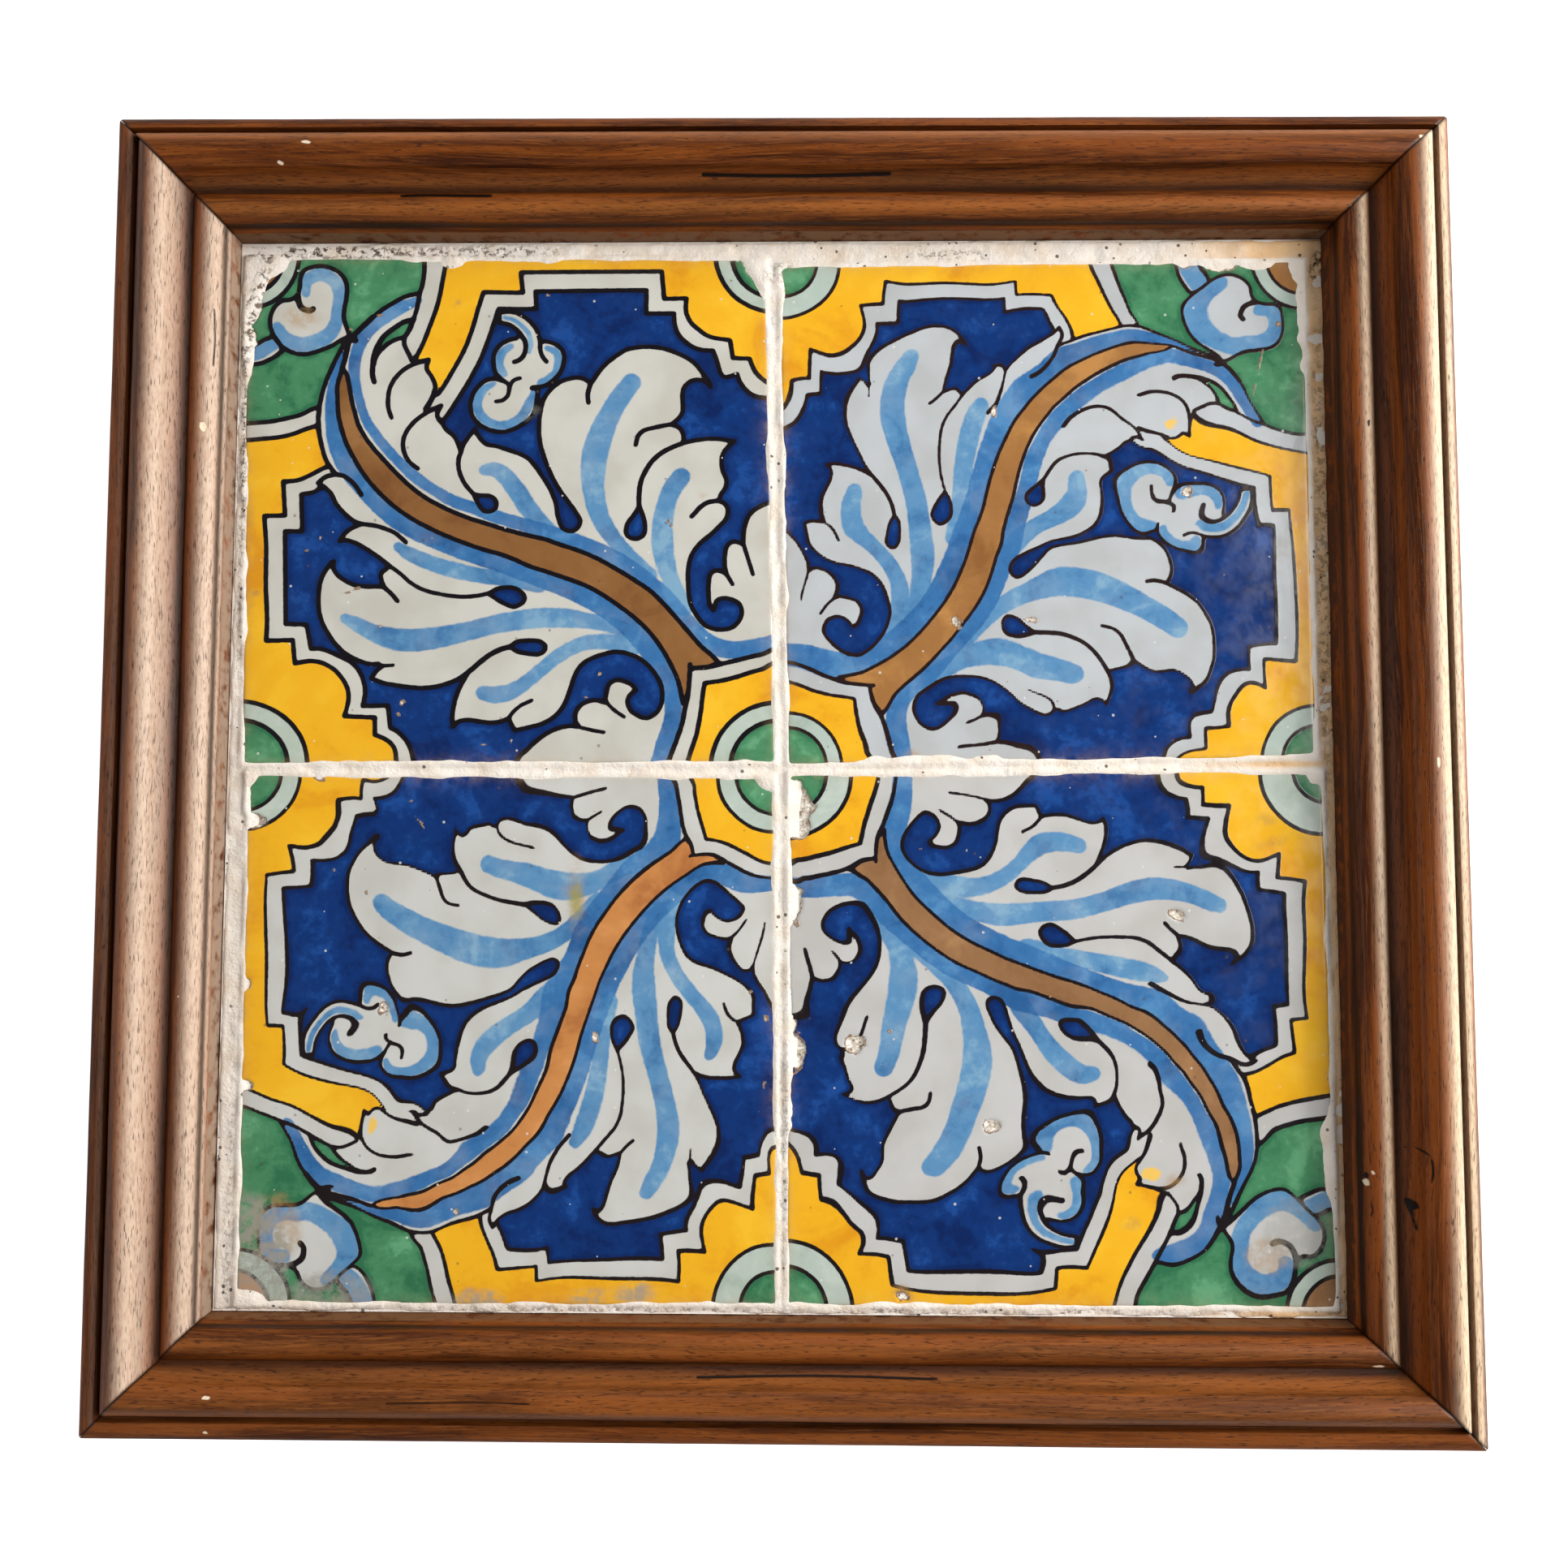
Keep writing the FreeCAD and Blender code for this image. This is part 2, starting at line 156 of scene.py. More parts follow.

# The painted motif, in millimetres from the middle of the tile: each area and line is a list of
# points; a / after a point is a sharp turn. Areas that run off the tile are closed
# on a border further out
AREA_BORDER = 80.0
AREAS = {
    "cobalt": [
        "-17.4,25/ -16,26.9 -14.1,30 -11.4,34.5 -9.2,38.7 -7.4,42.5 -5.9,46.7 -4.2,52 -2.9,56.3/ "
        "7.1,56.2/ 6.8,61.2/ 36,61.6/ 35.9,55/ 43.2,55/ 43.4,52 44.5,48.9 47.2,46.2 50.2,44.8 "
        "53.4,44.6/ 54.3,42 55.4,38.2/ 56.6,37.1 59.7,38/ 60.6,35.5 62.6,33 65.4,31.6 72,31 "
        "80,30.6/ 80,4.6/ "
        "72,3.4 68.3,2.2 66.1,1.3 63.8,-0.2 62.4,-2.1 61.5,-5.2 61.3,-7.4 61.3,-9.4/ "
        "59.4,-8.6 58.1,-8.8 "
        "56.9,-10.1 56.5,-12.4 56.4,-15 56.9,-17.7/ 55.8,-16.9 53.9,-16.6 52.6,-17.7 52.2,-20.5 "
        "52.2,-23.1 52.4,-25.8 53.5,-27.6/ 54.3,-25 55.8,-24.2 58.1,-24.5 60.2,-25.8 60.9,-28.1 "
        "60.2,-30.3 58.5,-32.1 56.2,-32.8 53.5,-32.6 51.2,-31.5 49.3,-29.2 47.8,-26.5 47.1,-23.3 "
        "46.9,-19.6 46.9,-16.6 47.4,-13.5 48.6,-10.9 50.5,-8.6 52.8,-6.7 55,-4.4 56.7,-2.5 57.3,-0.2 "
        "56.6,1.7 55,2.6/ 55.4,4.3 56.6,6.2 56.9,8.5 56,10.8 55.6,13.5 56,15.7 57.3,17.6 59,19.2/ "
        "55.8,19.7 52.4,19.9 49,19.5 45.8,18.8/ 45.7,19.7 45.5,21.6 44.4,23.1 42.5,23.9/ 44.2,25.4 "
        "45.4,27.3 45.5,29.6 45.4,32.2 45.9,34.3 47.4,35.9 49.3,36.4 51.4,35.9 52.8,34.3/ 52.4,35.7 "
        "50.9,37.9 49,40.6 46.7,42.5 43.6,44 40.2,45.2 36.8,45.6 33,45.4 30.3,44.6 28.1,43.1 "
        "25.8,41.2 23.9,39.1 22.4,36.8 21.4,35.3/ 19.7,36.6 17.8,37 15.5,36.6 13.3,35.7 11,33.8 "
        "9.1,31.1 8.3,28.1 7.9,24.6 7.9,20.8 8.5,17.2 9.4,14.3 10.5,11.2 12.1,7.8 13.6,5.2 15.5,2.5 "
        "17.4,-0.2 18.7,-2.8 18.1,-4.7 16.6,-5.7 14.7,-5.3 13.6,-4 12.8,-1.3 12.3,2.1 11.3,4.8 "
        "10.2,7.1 8.6,9.7 7.1,12 5.2,14.3 2.6,15.8 -0.5,16.9 -3.5,17.9 -5.8,18.3 -7.3,19.6 -8.5,21.5 "
        "-9,22.6/ -10.4,20.7 -11.9,18.5 -12.6,16.2/ -13.4,18.5 -14.5,20.7 -16.4,22.3 -17.4,24",
        "-54.5,4.5/ -51.2,5.1 -49.7,6.1 -48.2,6.4/ -46.7,4.7 -45.2,1.7 -42.9,-1 -40.6,-2.9 "
        "-38.5,-3.7/ -39.8,-4.2 -41.7,-5.2 -43.3,-6.7 -44.4,-8.4/ -42.5,-8.2 -39.8,-9.1 -36.8,-10.9 "
        "-33.8,-13.1 -31.1,-15.2/ -32.2,-16.2 -33.4,-17.3 -33.4,-18.8 -32.6,-20.9/ -34.9,-20.9 "
        "-37.6,-20.9 -40.6,-20.4 -42.9,-19.2 -44.8,-17.7 -45.9,-15.8 -45.8,-13.9/ -46.7,-14.7 "
        "-48.2,-16.9 -49.3,-19.6 -49.7,-23 -49.7,-26.4 -49,-29.9 -47.8,-32.6 -45.9,-35.7 -43.6,-38.3 "
        "-41,-40.2 -38.3,-41.4 -36,-42.1 -33.8,-42/ -33.2,-42.9 -34.5,-44 -35.7,-45.9/ -33,-47.1 "
        "-29.6,-47.8 -25.4,-48.4 -22,-48.6 -18.6,-48.2 -15.9,-47.4 -14,-46.7 -12,-45.5 -10.1,-44/ "
        "-11.2,-45.9 -12.8,-49 -13.9,-52.4 -14.5,-56.2 -14.3,-59.2/ -12.8,-57.7 -10.5,-57.3 "
        "-7.4,-57.7 -4.4,-58.1 -1.7,-57.7 0.2,-56.9/ 0.9,-58.5 1.9,-60.2/ 5.1,-59.4 8.5,-58.5 "
        "11.2,-57.1 13.5,-55 15,-52.4 16.1,-49.3 16.9,-46.7 18,-44 19.9,-41.7 23,-40.1 27.3,-38.9 "
        "30.3,-39.1 33.4,-40.2 36,-42.1 38.3,-44.8 39.8,-47.8 40.2,-50.9 39.8,-53.5 38.3,-55.8 "
        "36,-56.9 33.8,-56.2 31.9,-54.7 31.1,-52.4 31.9,-50.5 33.4,-49.3/ 32.2,-47.8 30.3,-46.9 "
        "28.4,-46.5 26.5,-47.4 25.8,-49.3 25.4,-51.6 25.8,-52.8/ 23,-52 20.7,-52.4 18.8,-53.5 "
        "17.6,-55.4 17.6,-57.7 18.6,-59.2/ 16.1,-59 13.1,-59.6 10,-61.1 7,-63.4 4.7,-65.7 2.8,-67.6 "
        "1.5,-72 0.6,-80/ -23.4,-80/ -24,-72 -24.8,-67.2 -25.6,-64.5 -26.9,-62.3 -28.8,-60.4 "
        "-30.7,-59.4/ -31.3,-53.3/ "
        "-37.9,-53.5/ -37.3,-49.7 -37.8,-46.7 -38.9,-44 -41,-41.7 -43.6,-40.2 -46.7,-38.7 -49.3,-37.9 "
        "-51.6,-37.9/ -52.8,-31.3/ -58.3,-31.1/ -58.7,-5.7/ -54.1,-5.7/",
        "-5.2,-22.8/ -2.9,-21.6 -0.6,-21.2 1.7,-21.4 3.6,-22.7 4.3,-24.3 3.2,-25.8 1.3,-26.5 -1,-25.6 "
        "-2.9,-24.5",
        "0.5,-37.4/ 2.4,-36 5.5,-35.7 8.1,-35.9 9.7,-37.2 9.3,-38.7 7.8,-39.5 5.1,-39.3 2.4,-38.7",
        "-9.2,4.6/ -7.7,4.2 -5,4 -3.5,2.9 -3.3,1 -4.7,-0.2 -6.6,0 -7.7,1.4 -8.7,3.3",
        "34.2,1.2/ 32.6,-1.4 31.1,-3.6 30.7,-6.3 31.9,-7.6 33.8,-7.8 35.3,-6.7 35.7,-4.8 35.3,-2.1",
    ],
    "flower": [
        "-2.7,55.4/ 0.7,55.4 3.4,54.3 5.7,52.4 7.2,50.1 8.1,47.3/ 10.6,46.9 12.5,46.1 13.8,44.8 "
        "14.4,42.9 14.2,40.6 13.3,38.3 11.7,36.4 9.8,34.9 7.6,34.3/ 7.3,31 6.8,28.1 5.7,25.8 3.4,23.9 "
        "0.7,22.4 -1.9,21.8 -4.6,22.2 -7.3,23.5 -9.2,25.4 -10.1,27.7 -10.1,30.3 -9.2,33 -7.6,35.1 "
        "-5.7,36.4 -3.5,36.6 -1.2,35.9/ -2.5,36.9 -3.8,38.7 -4.2,41.4 -4,43.6 -2.7,45.9 -0.4,47.4 "
        "1.9,48/ 2.9,49.2/ 2.2,50.1 0,51.8 -2.7,52.4/",
    ],
    "yellow": [
        "-15,80/ -16.3,72 -16.9,68.7 -17.8,63.4 -18.9,57.7 -20.5,52.8 -22.4,47.4 -23.9,44 -25.2,41.7/ "
        "-24,41.4 -21.2,42/ -21.8,39.5 -20.5,37.4 -19.5,34.9 -19.6,32.4/ -18.7,32.4 -16.6,35.7 "
        "-14.5,39.5 -12.6,43.2 -11.1,46.7 -9.7,50.9 -8.4,55.8 -6.9,61/ 3.5,60.8/ 2.9,66.6/ 40,66.9/ "
        "40.6,59.1/ 46.5,59.3/ 46.3,56 47.4,52.8 49.9,50.3 52.8,48.4 57.9,47.5/ 58.6,42.5/ 63,42.3/ "
        "64.2,39.1 66.1,36.8 68.5,35 72,33 80,31.2/ 80,80/",
        "-80,19.3/ -72,19.4 -68.9,19.5 -64.5,19.9 -60.7,20.3 -56.9,21.2 -53.5,22.6 -50.4,23.6/ "
        "-49.7,20 "
        "-48.6,15.4 -47.3,12.3/ -49.7,11.2 -52.4,9.7 -55.8,8.3 -59.3,8.1/ -58.7,-1.4/ -64.2,-1.4/ "
        "-63.6,-10 -63.6,-20 -63.2,-30 -63.4,-35.7/ -56.4,-35.5/ -55.8,-41.9/ -53.9,-41.5 -51.2,-41.2 "
        "-48.2,-41.9 -45.2,-43.8 -42.9,-46.7 -41.7,-49.7 -41.8,-52.8 -42.7,-56.2/ -34.7,-56.6/ "
        "-34.7,-61.3/ -32.6,-62.1 -30.3,-63.8 -29.2,-66.4 -29,-72 -28.8,-80/ -80,-80/",
        "80,-38.8/ 72,-40.8 68.7,-42.1 66.4,-43.5 63.4,-44.4 59.6,-45.7 55.8,-46.7 51.2,-47.4/ "
        "50.7,-50.5 "
        "50.3,-54.3 49.7,-58.1 49,-61.5 47.8,-65.3 46.9,-68.3 46,-72 44,-80/ 80,-80/",
    ],
    "green": [
        "-80,80/ -22.5,80/ -22.5,72 -22.5,67.2 -22.9,63.4 -23.7,60.7/ -27.7,59.6 -30.7,57.9 -33.8,55.8 "
        "-36.4,53.5 -38.7,51.2 -40.6,49 -42,47/ -43.3,46.7 -44.8,44 -46.7,39.8 -48.2,36 -49.2,32.6 "
        "-50,28.7/ -52,28.1 -55,26.5 -58.5,25.6 -61.9,24.8 -65.3,24.4 -72,24 -80,23.8/",
        "-25.3,53.2/ -27.7,52.6 -30.3,50.9 -33,48.6 -34.7,45.9/ -34.1,44.4 -32.2,46.3 -30,47.6 "
        "-27.6,48.3/ -26.4,50.6",
    ],
    "scroll": [
        "-42,48.5/ -43.5,52.8 -43.6,55.8 -43.1,58.8 -42.9,62.3 -43.6,64.7 -45.2,66.6 -47.4,67.8 "
        "-49.7,68.3 -52,68 -54.3,67.1 -55.2,64.9 -55.4,62.3 -55.9,60/ -57.7,58.8 -60,58.5 -61.9,56.9 "
        "-62.8,55 -63.2,53.1 -63,50.9 -62.1,48.4 -60.4,46.1 -58.1,44.4 -55.4,43.5 -52.8,43.6 "
        "-49.7,44.6 -46.7,45.9 -44.4,47.4",
        "-80,40.4/ -72,40.5 -68.3,40.6 -65.3,41 -62.3,42.5 -60,44.2/ -60.4,46.1 -62.2,48.6/ -64.9,47.4 "
        "-66.8,46.3 -72,45.5 -80,45/",
    ],
    "stem": [
        "-44,39.6/ -42.7,37.6 -42.1,34.5 -41.4,30.3 -40.6,27.3 -39.5,23.5 -36.8,18.8 -33.2,14.4 "
        "-29.2,10 -25.4,6.3 -21.6,3.4 -17.4,1 -13.4,-0.9 -9.6,-2.4 -5.8,-3.6 -2,-4.9 1.8,-6 5.6,-7 "
        "9.4,-7.9 13.2,-9.3 17,-10.6 20.8,-12.1 24.6,-14 28.4,-16.3 32.6,-19 36.8,-22 40.6,-25.8 "
        "44.4,-30.3 48.2,-34.9 50.5,-37.6 52.8,-39.6 55,-41.9/ 52,-43/ 47.4,-43.4/ 46.9,-50 45.6,-53/ "
        "44.8,-49 44,-45.9 42.1,-41.7 39.8,-37.6 36.8,-33.4 33,-29.6 29.2,-26.5 25.2,-23.6 20.8,-21 "
        "17,-19.4 13.2,-18 9.4,-16.7 5.6,-15.4 1.8,-13.6 -2,-12.1 -5.8,-11 -9.6,-9.7 -13.4,-8.2 "
        "-17.4,-6.5 -22,-4.2 -26.5,-1.5 -30.7,1.7 -34.5,5.5 -37.9,9.7 -40.6,14.2 -42.9,19 -44.4,24 "
        "-45,27.3 -45.2,31.1 -45.2,34.9",
    ],
}

# Single lines: width, points
LINES = [
    (1.15, "21.4,35.5 20.6,32.4 20.8,30"),
    (1.1, "42.5,23.9 40.2,23.5 37.6,22.9 35.3,22.2 33.8,20.7 33.2,18.2"),
    (1.2, "45.9,18.8 43.3,17.8 40.2,16.1 37.6,13.8 35.7,10.8 34.5,7.8 34.1,4.7 34.1,0.9"),
    (1.15, "55.2,2.6 53.9,2.6 52,2.2 50.1,0.9 47.8,-1.7"),
    (1.0, "61.3,-9.4 62.1,-12 63,-15 63.8,-17.7"),
    (1.0, "56.9,-17.7 57.6,-18.8 58.5,-20.4"),
    (1.1, "-12.6,16.2 -13.2,14.3 -13.2,12 -12.5,9.3 -11.1,6.7 -9.2,4.6"),
    (1.1,
        "-17.8,29.2/ -20.1,28.1 -22.4,26.7 -24.6,25 -26.5,22.7 -27.7,20.1 -27.8,17.2 -27.1,15 "
        "-25.8,13.1 -23.9,11.6"),
    (1.1, "-17.8,29.2/ -18.9,27 -18.6,25.4 -17.4,23.9"),
    (1.1,
        "-21.2,41.9 -23.9,41.2 -26.2,40.2 -28.4,38.7 -30.3,36.4 -31.5,33.8 -31.9,30.7 -31.7,28.1 "
        "-30.9,25.8"),
    (1.3, "-19.6,33.4 -19.8,32.4 -20.7,30.3 -22,28.2"),
    (1.3, "-25.2,53.3 -27.7,52.6 -30.3,50.9 -33,48.6 -34.7,45.9 -35.7,42.9 -36,39.8 -36,37.6 -35.5,35.7"),
    (1.1, "-27.5,48.6/ -27.7,46.3 -26.7,44 -25.8,41.9"),
    (1.0, "-34.1,44.4 -35.2,42.4 -35.6,40.5"),
    (1.1, "-23.7,60.7 -24.3,56.9 -25.2,53.5 -26.2,50.5 -27.5,48.4"),
    (1.3, "-42.4,46.6 -43.1,43 -44,39.6"),
    (1.2, "-49.9,29 -50.2,25.4 -49.9,21.5"),
    (1.1, "-47.6,13 -45.5,10.2 -43.6,9.7"),
    (1.15, "-50.1,7.7/ -48.2,9.3 -45.9,9.9 -43.6,9.7 -41.4,8.1 -39.8,6.2 -38.7,4.3"),
    (1.1, "-50.1,7.7 -48.2,6.4"),
    (1.1, "-38.5,-3.7 -34.9,-4.2 -31.9,-5.2 -29.6,-6.3 -26.9,-8.8"),
    (1.0,
        "-31.1,-15.2 -28.4,-17.3 -25.4,-20 -22,-21.9 -17.8,-23 -14,-23.6 -10.5,-23.7 -7.4,-23.3 "
        "-5.2,-22.8"),
    (1.1, "-32.6,-21.1 -30.7,-22.8 -29,-24.9"),
    (0.8, "-33.8,-42 -32.6,-42.5 -30,-42.4"),
    (1.3, "-10.1,-44 -9.3,-43.4 -7.1,-41.4 -4.8,-39.6 -2.1,-38.2 0.5,-37.4"),
    (0.9, "0.2,-56.9 1.3,-55.2 3.2,-53.5 6.2,-52"),
    (0.9, "25.8,-52.8 27.7,-54.7 30.3,-56.6"),
    (0.9, "18.6,-59.3 22.2,-60.2 25,-60.7"),
    (1.1, "8.1,47.4 8.1,44.8 8.7,42.9 9.8,41.4"),
    (1.2, "2.9,49.2 4,47.4 4.3,45.5 3.8,43.3 2.6,41.9 1.3,41.4"),
    (1.0, "-1.2,35.9 0.1,34.9/ -0.3,32.2 -1.6,30.7 -3.5,30.3"),
    (1.0, "0,34 0.5,35.4 1.4,36.4 2.8,36.8"),
    (1.3, "7.6,34.3 6,34.1"),
    (1.5, "-55.9,60 -55.6,58 -54.7,56.4 -52.8,55.6 -51.8,56.2"),
    (1.15,
        "80,-36.2 72,-37.6 68.9,-38.3 66.4,-39.5 63.4,-40.2 59.6,-41.2 55.8,-42.1 52,-43.1 47.4,-43.4/ "
        "47.2,-46.7 46.9,-50.5 46.1,-54.3 45.4,-58.1 44,-62.6 42.3,-67.2 40.8,-72 38.8,-80"),
    (1.2, "47.4,-43.4 47.4,-42.3"),
    (1.4, "-42.6,47.4 -41.2,48 -40.5,47.3"),
    (1.4, "-41.5,48.2 -38.7,51.2 -36,53.9"),
]
OUTLINE_WIDTH = 1.1

# Round corner medallions of each tile, laid out as the motif: centre, radius of the boss, radius
# of the ring, boss paint
MEDALLIONS = {
    "tile_top_left": [
        (70.5, 71.5, 12.0, 16.2, "green"),
        (-70.0, -70.0, 12.7, 17.8, "green"),
        (70.3, -70.0, 12.4, 17.4, "green"),
        (-70.0, 70.5, 10.3, 14.3, "brown"),
    ],
    "tile_top_right": [
        (70.0, 70.0, 10.5, 16.0, "green"),
        (-70.0, -70.0, 10.0, 16.0, "green"),
        (70.0, -70.0, 10.5, 14.5, "green"),
        (-70.0, 70.0, 9.5, 13.5, "brown"),
    ],
    "tile_bottom_right": [
        (70.0, 70.0, 11.0, 17.5, "green"),
        (-70.0, -70.0, 8.5, 17.0, "green"),
        (70.0, -70.0, 11.5, 18.0, "green"),
        (-70.0, 70.0, 9.0, 13.0, "brown"),
    ],
    "tile_bottom_left": [
        (70.0, 70.0, 10.0, 15.0, "green"),
        (-70.0, -70.0, 9.5, 16.5, "green"),
        (70.0, -70.0, 10.7, 15.5, "green"),
        (-70.0, 70.0, 9.0, 14.5, "brown"),
    ],
}

# Outlines of each tile: how much thicker its painter drew them, and their colour on screen
OUTLINES = {
    "tile_top_left": (0.10, (16, 12, 18)),
    "tile_top_right": (-0.06, (34, 20, 20)),
    "tile_bottom_right": (0.0, (22, 16, 20)),
    "tile_bottom_left": (-0.04, (26, 18, 20)),
}

# How far each corner of a tile lies from its square place, and each corner of its painting: top
# left, top right, bottom right, bottom left, as seen in the panel
TILE_PULLS = {
    "tile_top_left": ((-1.6, 2.2), (-1.6, 0.2), (0.4, 0.9), (0.0, 1.2)),
    "tile_top_right": ((0.0, -1.1), (-0.3, -1.4), (-0.4, 2.1), (1.7, 0.8)),
    "tile_bottom_right": ((1.0, 0.4), (0.0, 0.5), (-0.4, -0.3), (-0.5, 0.4)),
    "tile_bottom_left": ((0.5, 1.2), (-0.9, -0.3), (-0.7, 0.4), (0.0, 0.9)),
}
PAINTING_PULLS = {
    "tile_top_left": ((-1.8, 1.4), (1.0, -0.4), (0.7, 0.2), (-0.5, 0.7)),
    "tile_top_right": ((0.3, -0.2), (-0.9, -1.5), (0.7, 0.5), (1.6, 0.8)),
    "tile_bottom_right": ((-0.7, 0.8), (0.5, 0.4), (-0.1, -0.9), (-0.9, -0.3)),
    "tile_bottom_left": ((-0.6, 1.3), (-0.4, 0.2), (-0.8, -0.1), (-0.1, 0.7)),
}

# Blue brush strokes: place and width along each; pale ones in the leaves, deep ones by the stem
STROKES = {
    "shade": [
        "-43.9,44,1 -44.8,41,1.7 -45.8,38,2.3 -46.7,31,3.3 -46.4,24,3.8 -45.2,18,4.6 -42.6,12,4.8 "
        "-39,7,4.6 -35,2.4,4.6 -30,-2.3,4.6 -24,-6,4.6 -17,-9.2,4.6 -9.6,-12.1,4.6 -1.7,-14.8,4.8 "
        "6.3,-17.8,5.2 "
        "14.3,-20.9,5.4 22.2,-24.6,5.8 28.2,-28.6,6 33.4,-33.6,6 37.7,-39.6,5.4 41,-45.6,4.8 "
        "42.8,-52,4.6 42.8,-58,4.8 41,-64,5 38.8,-72,4.8 36.6,-80,4.8",
        "-24.3,58.6,2.4 -29,56.4,3.6 -33,53.8,3.6 -36.7,50.5,3.4 -39.4,46.3,3.4 -40.6,42,3.2 -40.8,37,3 "
        "-39.6,31.5,2.6 -38,26,2.6 -35.3,21.3,2.8 -32,17,2.8 -28,12.6,3 -24,8.8,3.2 -19.5,5.6,3 "
        "-14.5,2.6,3.4 -9,0.6,3.4 -3,-1.8,3.6 4,-3.9,3.8 10,-5.8,4 17,-8.3,4.2 24,-11.3,4.4 "
        "30,-14.9,4.8 36,-19.4,4.8 41,-24.2,4.8 45.3,-29.2,4.6 49.3,-34,4.8 53.5,-37.2,5 58.5,-38.4,5 "
        "64,-37.7,4.6 72,-35.6,4 80,-34,4",
    ],
    "pale": [
        "32.1,35.6,5.2 29.5,32,5.6 26.8,27.5,5.8 24.4,22,6.6 22.6,16,7 22,10,6.6 22.4,4,5.8 "
        "23.8,-1.5,5.2 26.2,-6,4.8 29.2,-10,4.4 32.8,-14,4.4 36.5,-18,5",
        "45,9.3,5.2 42.6,5.6,5.2 41,1,5.2 40.2,-4,5.6 40.2,-9,6 40.9,-14,5.4 42.2,-18.5,4.6 "
        "44.2,-23,4.4 46,-27,4.6",
        "-6.4,11.2,3.2 -3.8,11.4,4.2 -1.3,9.8,4.8 0.8,7.3,5 2.8,4.3,5.2 4.8,1,5.2 7.2,-2,5 "
        "10,-5,4.6 13,-8,4.6",
        "-28.8,-10,3 -25.8,-12,4 -21,-14.2,4.4 -15,-16.2,4.6 -8,-17.8,4.4 0,-18.9,4.4 8,-20.6,4.4",
        "-42.8,-29.6,2.8 -40,-31,4 -36,-33.2,4.8 -31,-35,6 -25,-35.6,6.4 -18,-34.8,6 -10,-33,5.4 "
        "-2,-31,5.4 6,-29.8,5.6 14,-29.5,5.6 21,-30.4,4.6 27,-31.6,4.4 32,-33.6,4.4",
        "-6.4,-50,4.2 -3,-50.5,4.8 1,-49.5,4.6 5,-46.8,4 9,-43.3,3.8 13,-40,4 17,-37.6,4 21,-36.2,4.2 "
        "27,-36.2,4.6 33,-37.5,4.6",
        "0.3,45.8,2 -2,43.8,2.6 -2.8,40.8,2.6 -1.5,38,2.4",
        "-4,35.3,1.6 -6.8,33.6,2.4 -8.3,30.5,2.8 -8,27.5,2.8 -6,25,2.8 -3,23.6,2.8 0.5,24.1,2.8 "
        "3.6,26.5,2.8 5.4,30,2.8 6.6,33,2",
        "10,45.3,1.8 12.3,44,2.4 12.9,41.5,2.4 12.2,38.5,2.4 10,36.3,2.6 8,35.6,2",
        "-1.5,54,1.2 2,52.6,1.4 4.8,49.6,1.6 5.6,46.6,1.6 5.2,44,1.2",
        "-53.8,60.5,2.4 -53.6,64,3.6 -50,66,4 -46.2,64,3.8 -44.8,60,3.6 -45.4,56,3.4 -45.8,52,3.8 "
        "-47.6,49,4.4 -51,46.9,4.6 -55.5,46.2,4.4 -59.2,48,4 -61.2,51.2,3",
        "-80,42.6,4 -72,43,4 -67,43.8,4.4 -62,46.2,3.4",
    ],
}

